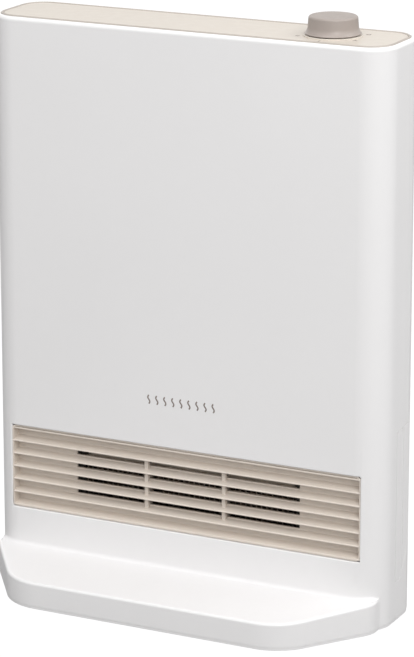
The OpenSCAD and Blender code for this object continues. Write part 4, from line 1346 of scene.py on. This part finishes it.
def build_lights():
    world = bpy.data.worlds.new("Studio")
    world.use_nodes = True
    tree = world.node_tree
    soft = tree.nodes["Background"]
    soft.inputs["Color"].default_value = (1.0, 1.0, 1.0, 1.0)
    soft.inputs["Strength"].default_value = 0.80
    backdrop = add_node(tree, "ShaderNodeBackground")
    backdrop.inputs["Color"].default_value = (1.0, 1.0, 1.0, 1.0)
    backdrop.inputs["Strength"].default_value = 1.05
    tree.links.new(
        camera_only(tree, soft.outputs[0], backdrop.outputs[0]),
        tree.nodes["World Output"].inputs["Surface"],
    )
    bpy.context.scene.world = world
    add_light("Overhead", (0.1, -0.5, 1.7), (0.0, 0.0, 0.2), (1.2, 1.2), 8.0)
    add_light("Key", (1.2, -1.3, 1.3), (0.0, 0.0, 0.25), (1.0, 1.0), 16.0)
    add_light("Side", (0.80, 0.2, 1.05), (0.15, 0.0, 0.4), (0.4, 0.4), 2.3)
    add_light("Back", (-1.5, 1.4, 0.75), (0.0, 0.0, 0.35), (0.6, 0.5), 1.2)


def build_camera():
    data = bpy.data.cameras.new("Camera")
    data.sensor_fit = "AUTO"
    data.sensor_width = 36.0
    data.lens = 170.31
    data.shift_y = -0.15
    data.clip_end = 50.0
    camera = bpy.data.objects.new("Camera", data)
    camera.location = (0.91905, -1.83354, 0.78096)
    yaw, pitch = math.radians(26.152), math.radians(14.044)
    look = Vector((-math.cos(pitch) * math.sin(yaw), math.cos(pitch) * math.cos(yaw), -math.sin(pitch)))
    camera.rotation_mode = "QUATERNION"
    camera.rotation_quaternion = look.to_track_quat("-Z", "Y")
    bpy.context.scene.collection.objects.link(camera)
    bpy.context.scene.camera = camera
    bpy.context.scene.view_settings.view_transform = "Standard"


# ---------------------------------------------------------------- panel


OPERATORS = (
    HEATER_OT_front_housing,
    HEATER_OT_back_and_base,
    HEATER_OT_top,
    HEATER_OT_control,
    HEATER_OT_grille,
    HEATER_OT_front_mark,
    HEATER_OT_inner_parts,
    HEATER_OT_stage,
)


class HEATER_PT_sidebar(bpy.types.Panel):
    """Lists the heater's pieces, sizes and colours"""

    bl_idname = "HEATER_PT_sidebar"
    bl_label = "Fan Heater"
    bl_space_type = "VIEW_3D"
    bl_region_type = "UI"
    bl_category = "Heater"

    def draw(self, context):
        column = self.layout.column()
        for operator in OPERATORS:
            column.operator(operator.bl_idname)
        for group in ("heater_shell", "heater_outlet", "heater_control", "heater_colours"):
            settings = getattr(context.scene, group)
            for key in settings.__annotations__:
                column.prop(settings, key)


CLASSES = (
    HeaterShellSizes, HeaterOutletSizes, HeaterControlSizes, HeaterColours, *OPERATORS, HEATER_PT_sidebar
)


def register():
    for part in CLASSES:
        bpy.utils.register_class(part)
    bpy.types.Scene.heater_shell = PointerProperty(type=HeaterShellSizes)
    bpy.types.Scene.heater_outlet = PointerProperty(type=HeaterOutletSizes)
    bpy.types.Scene.heater_control = PointerProperty(type=HeaterControlSizes)
    bpy.types.Scene.heater_colours = PointerProperty(type=HeaterColours)


def unregister():
    for name in ("heater_shell", "heater_outlet", "heater_control", "heater_colours"):
        delattr(bpy.types.Scene, name)
    for part in reversed(CLASSES):
        bpy.utils.unregister_class(part)


def main():
    register()
    bpy.ops.heater.front_housing()
    bpy.ops.heater.back_and_base()
    bpy.ops.heater.top()
    bpy.ops.heater.control()
    bpy.ops.heater.grille()
    bpy.ops.heater.front_mark()
    bpy.ops.heater.inner_parts()
    bpy.ops.heater.stage()


if __name__ == "__main__":
    main()
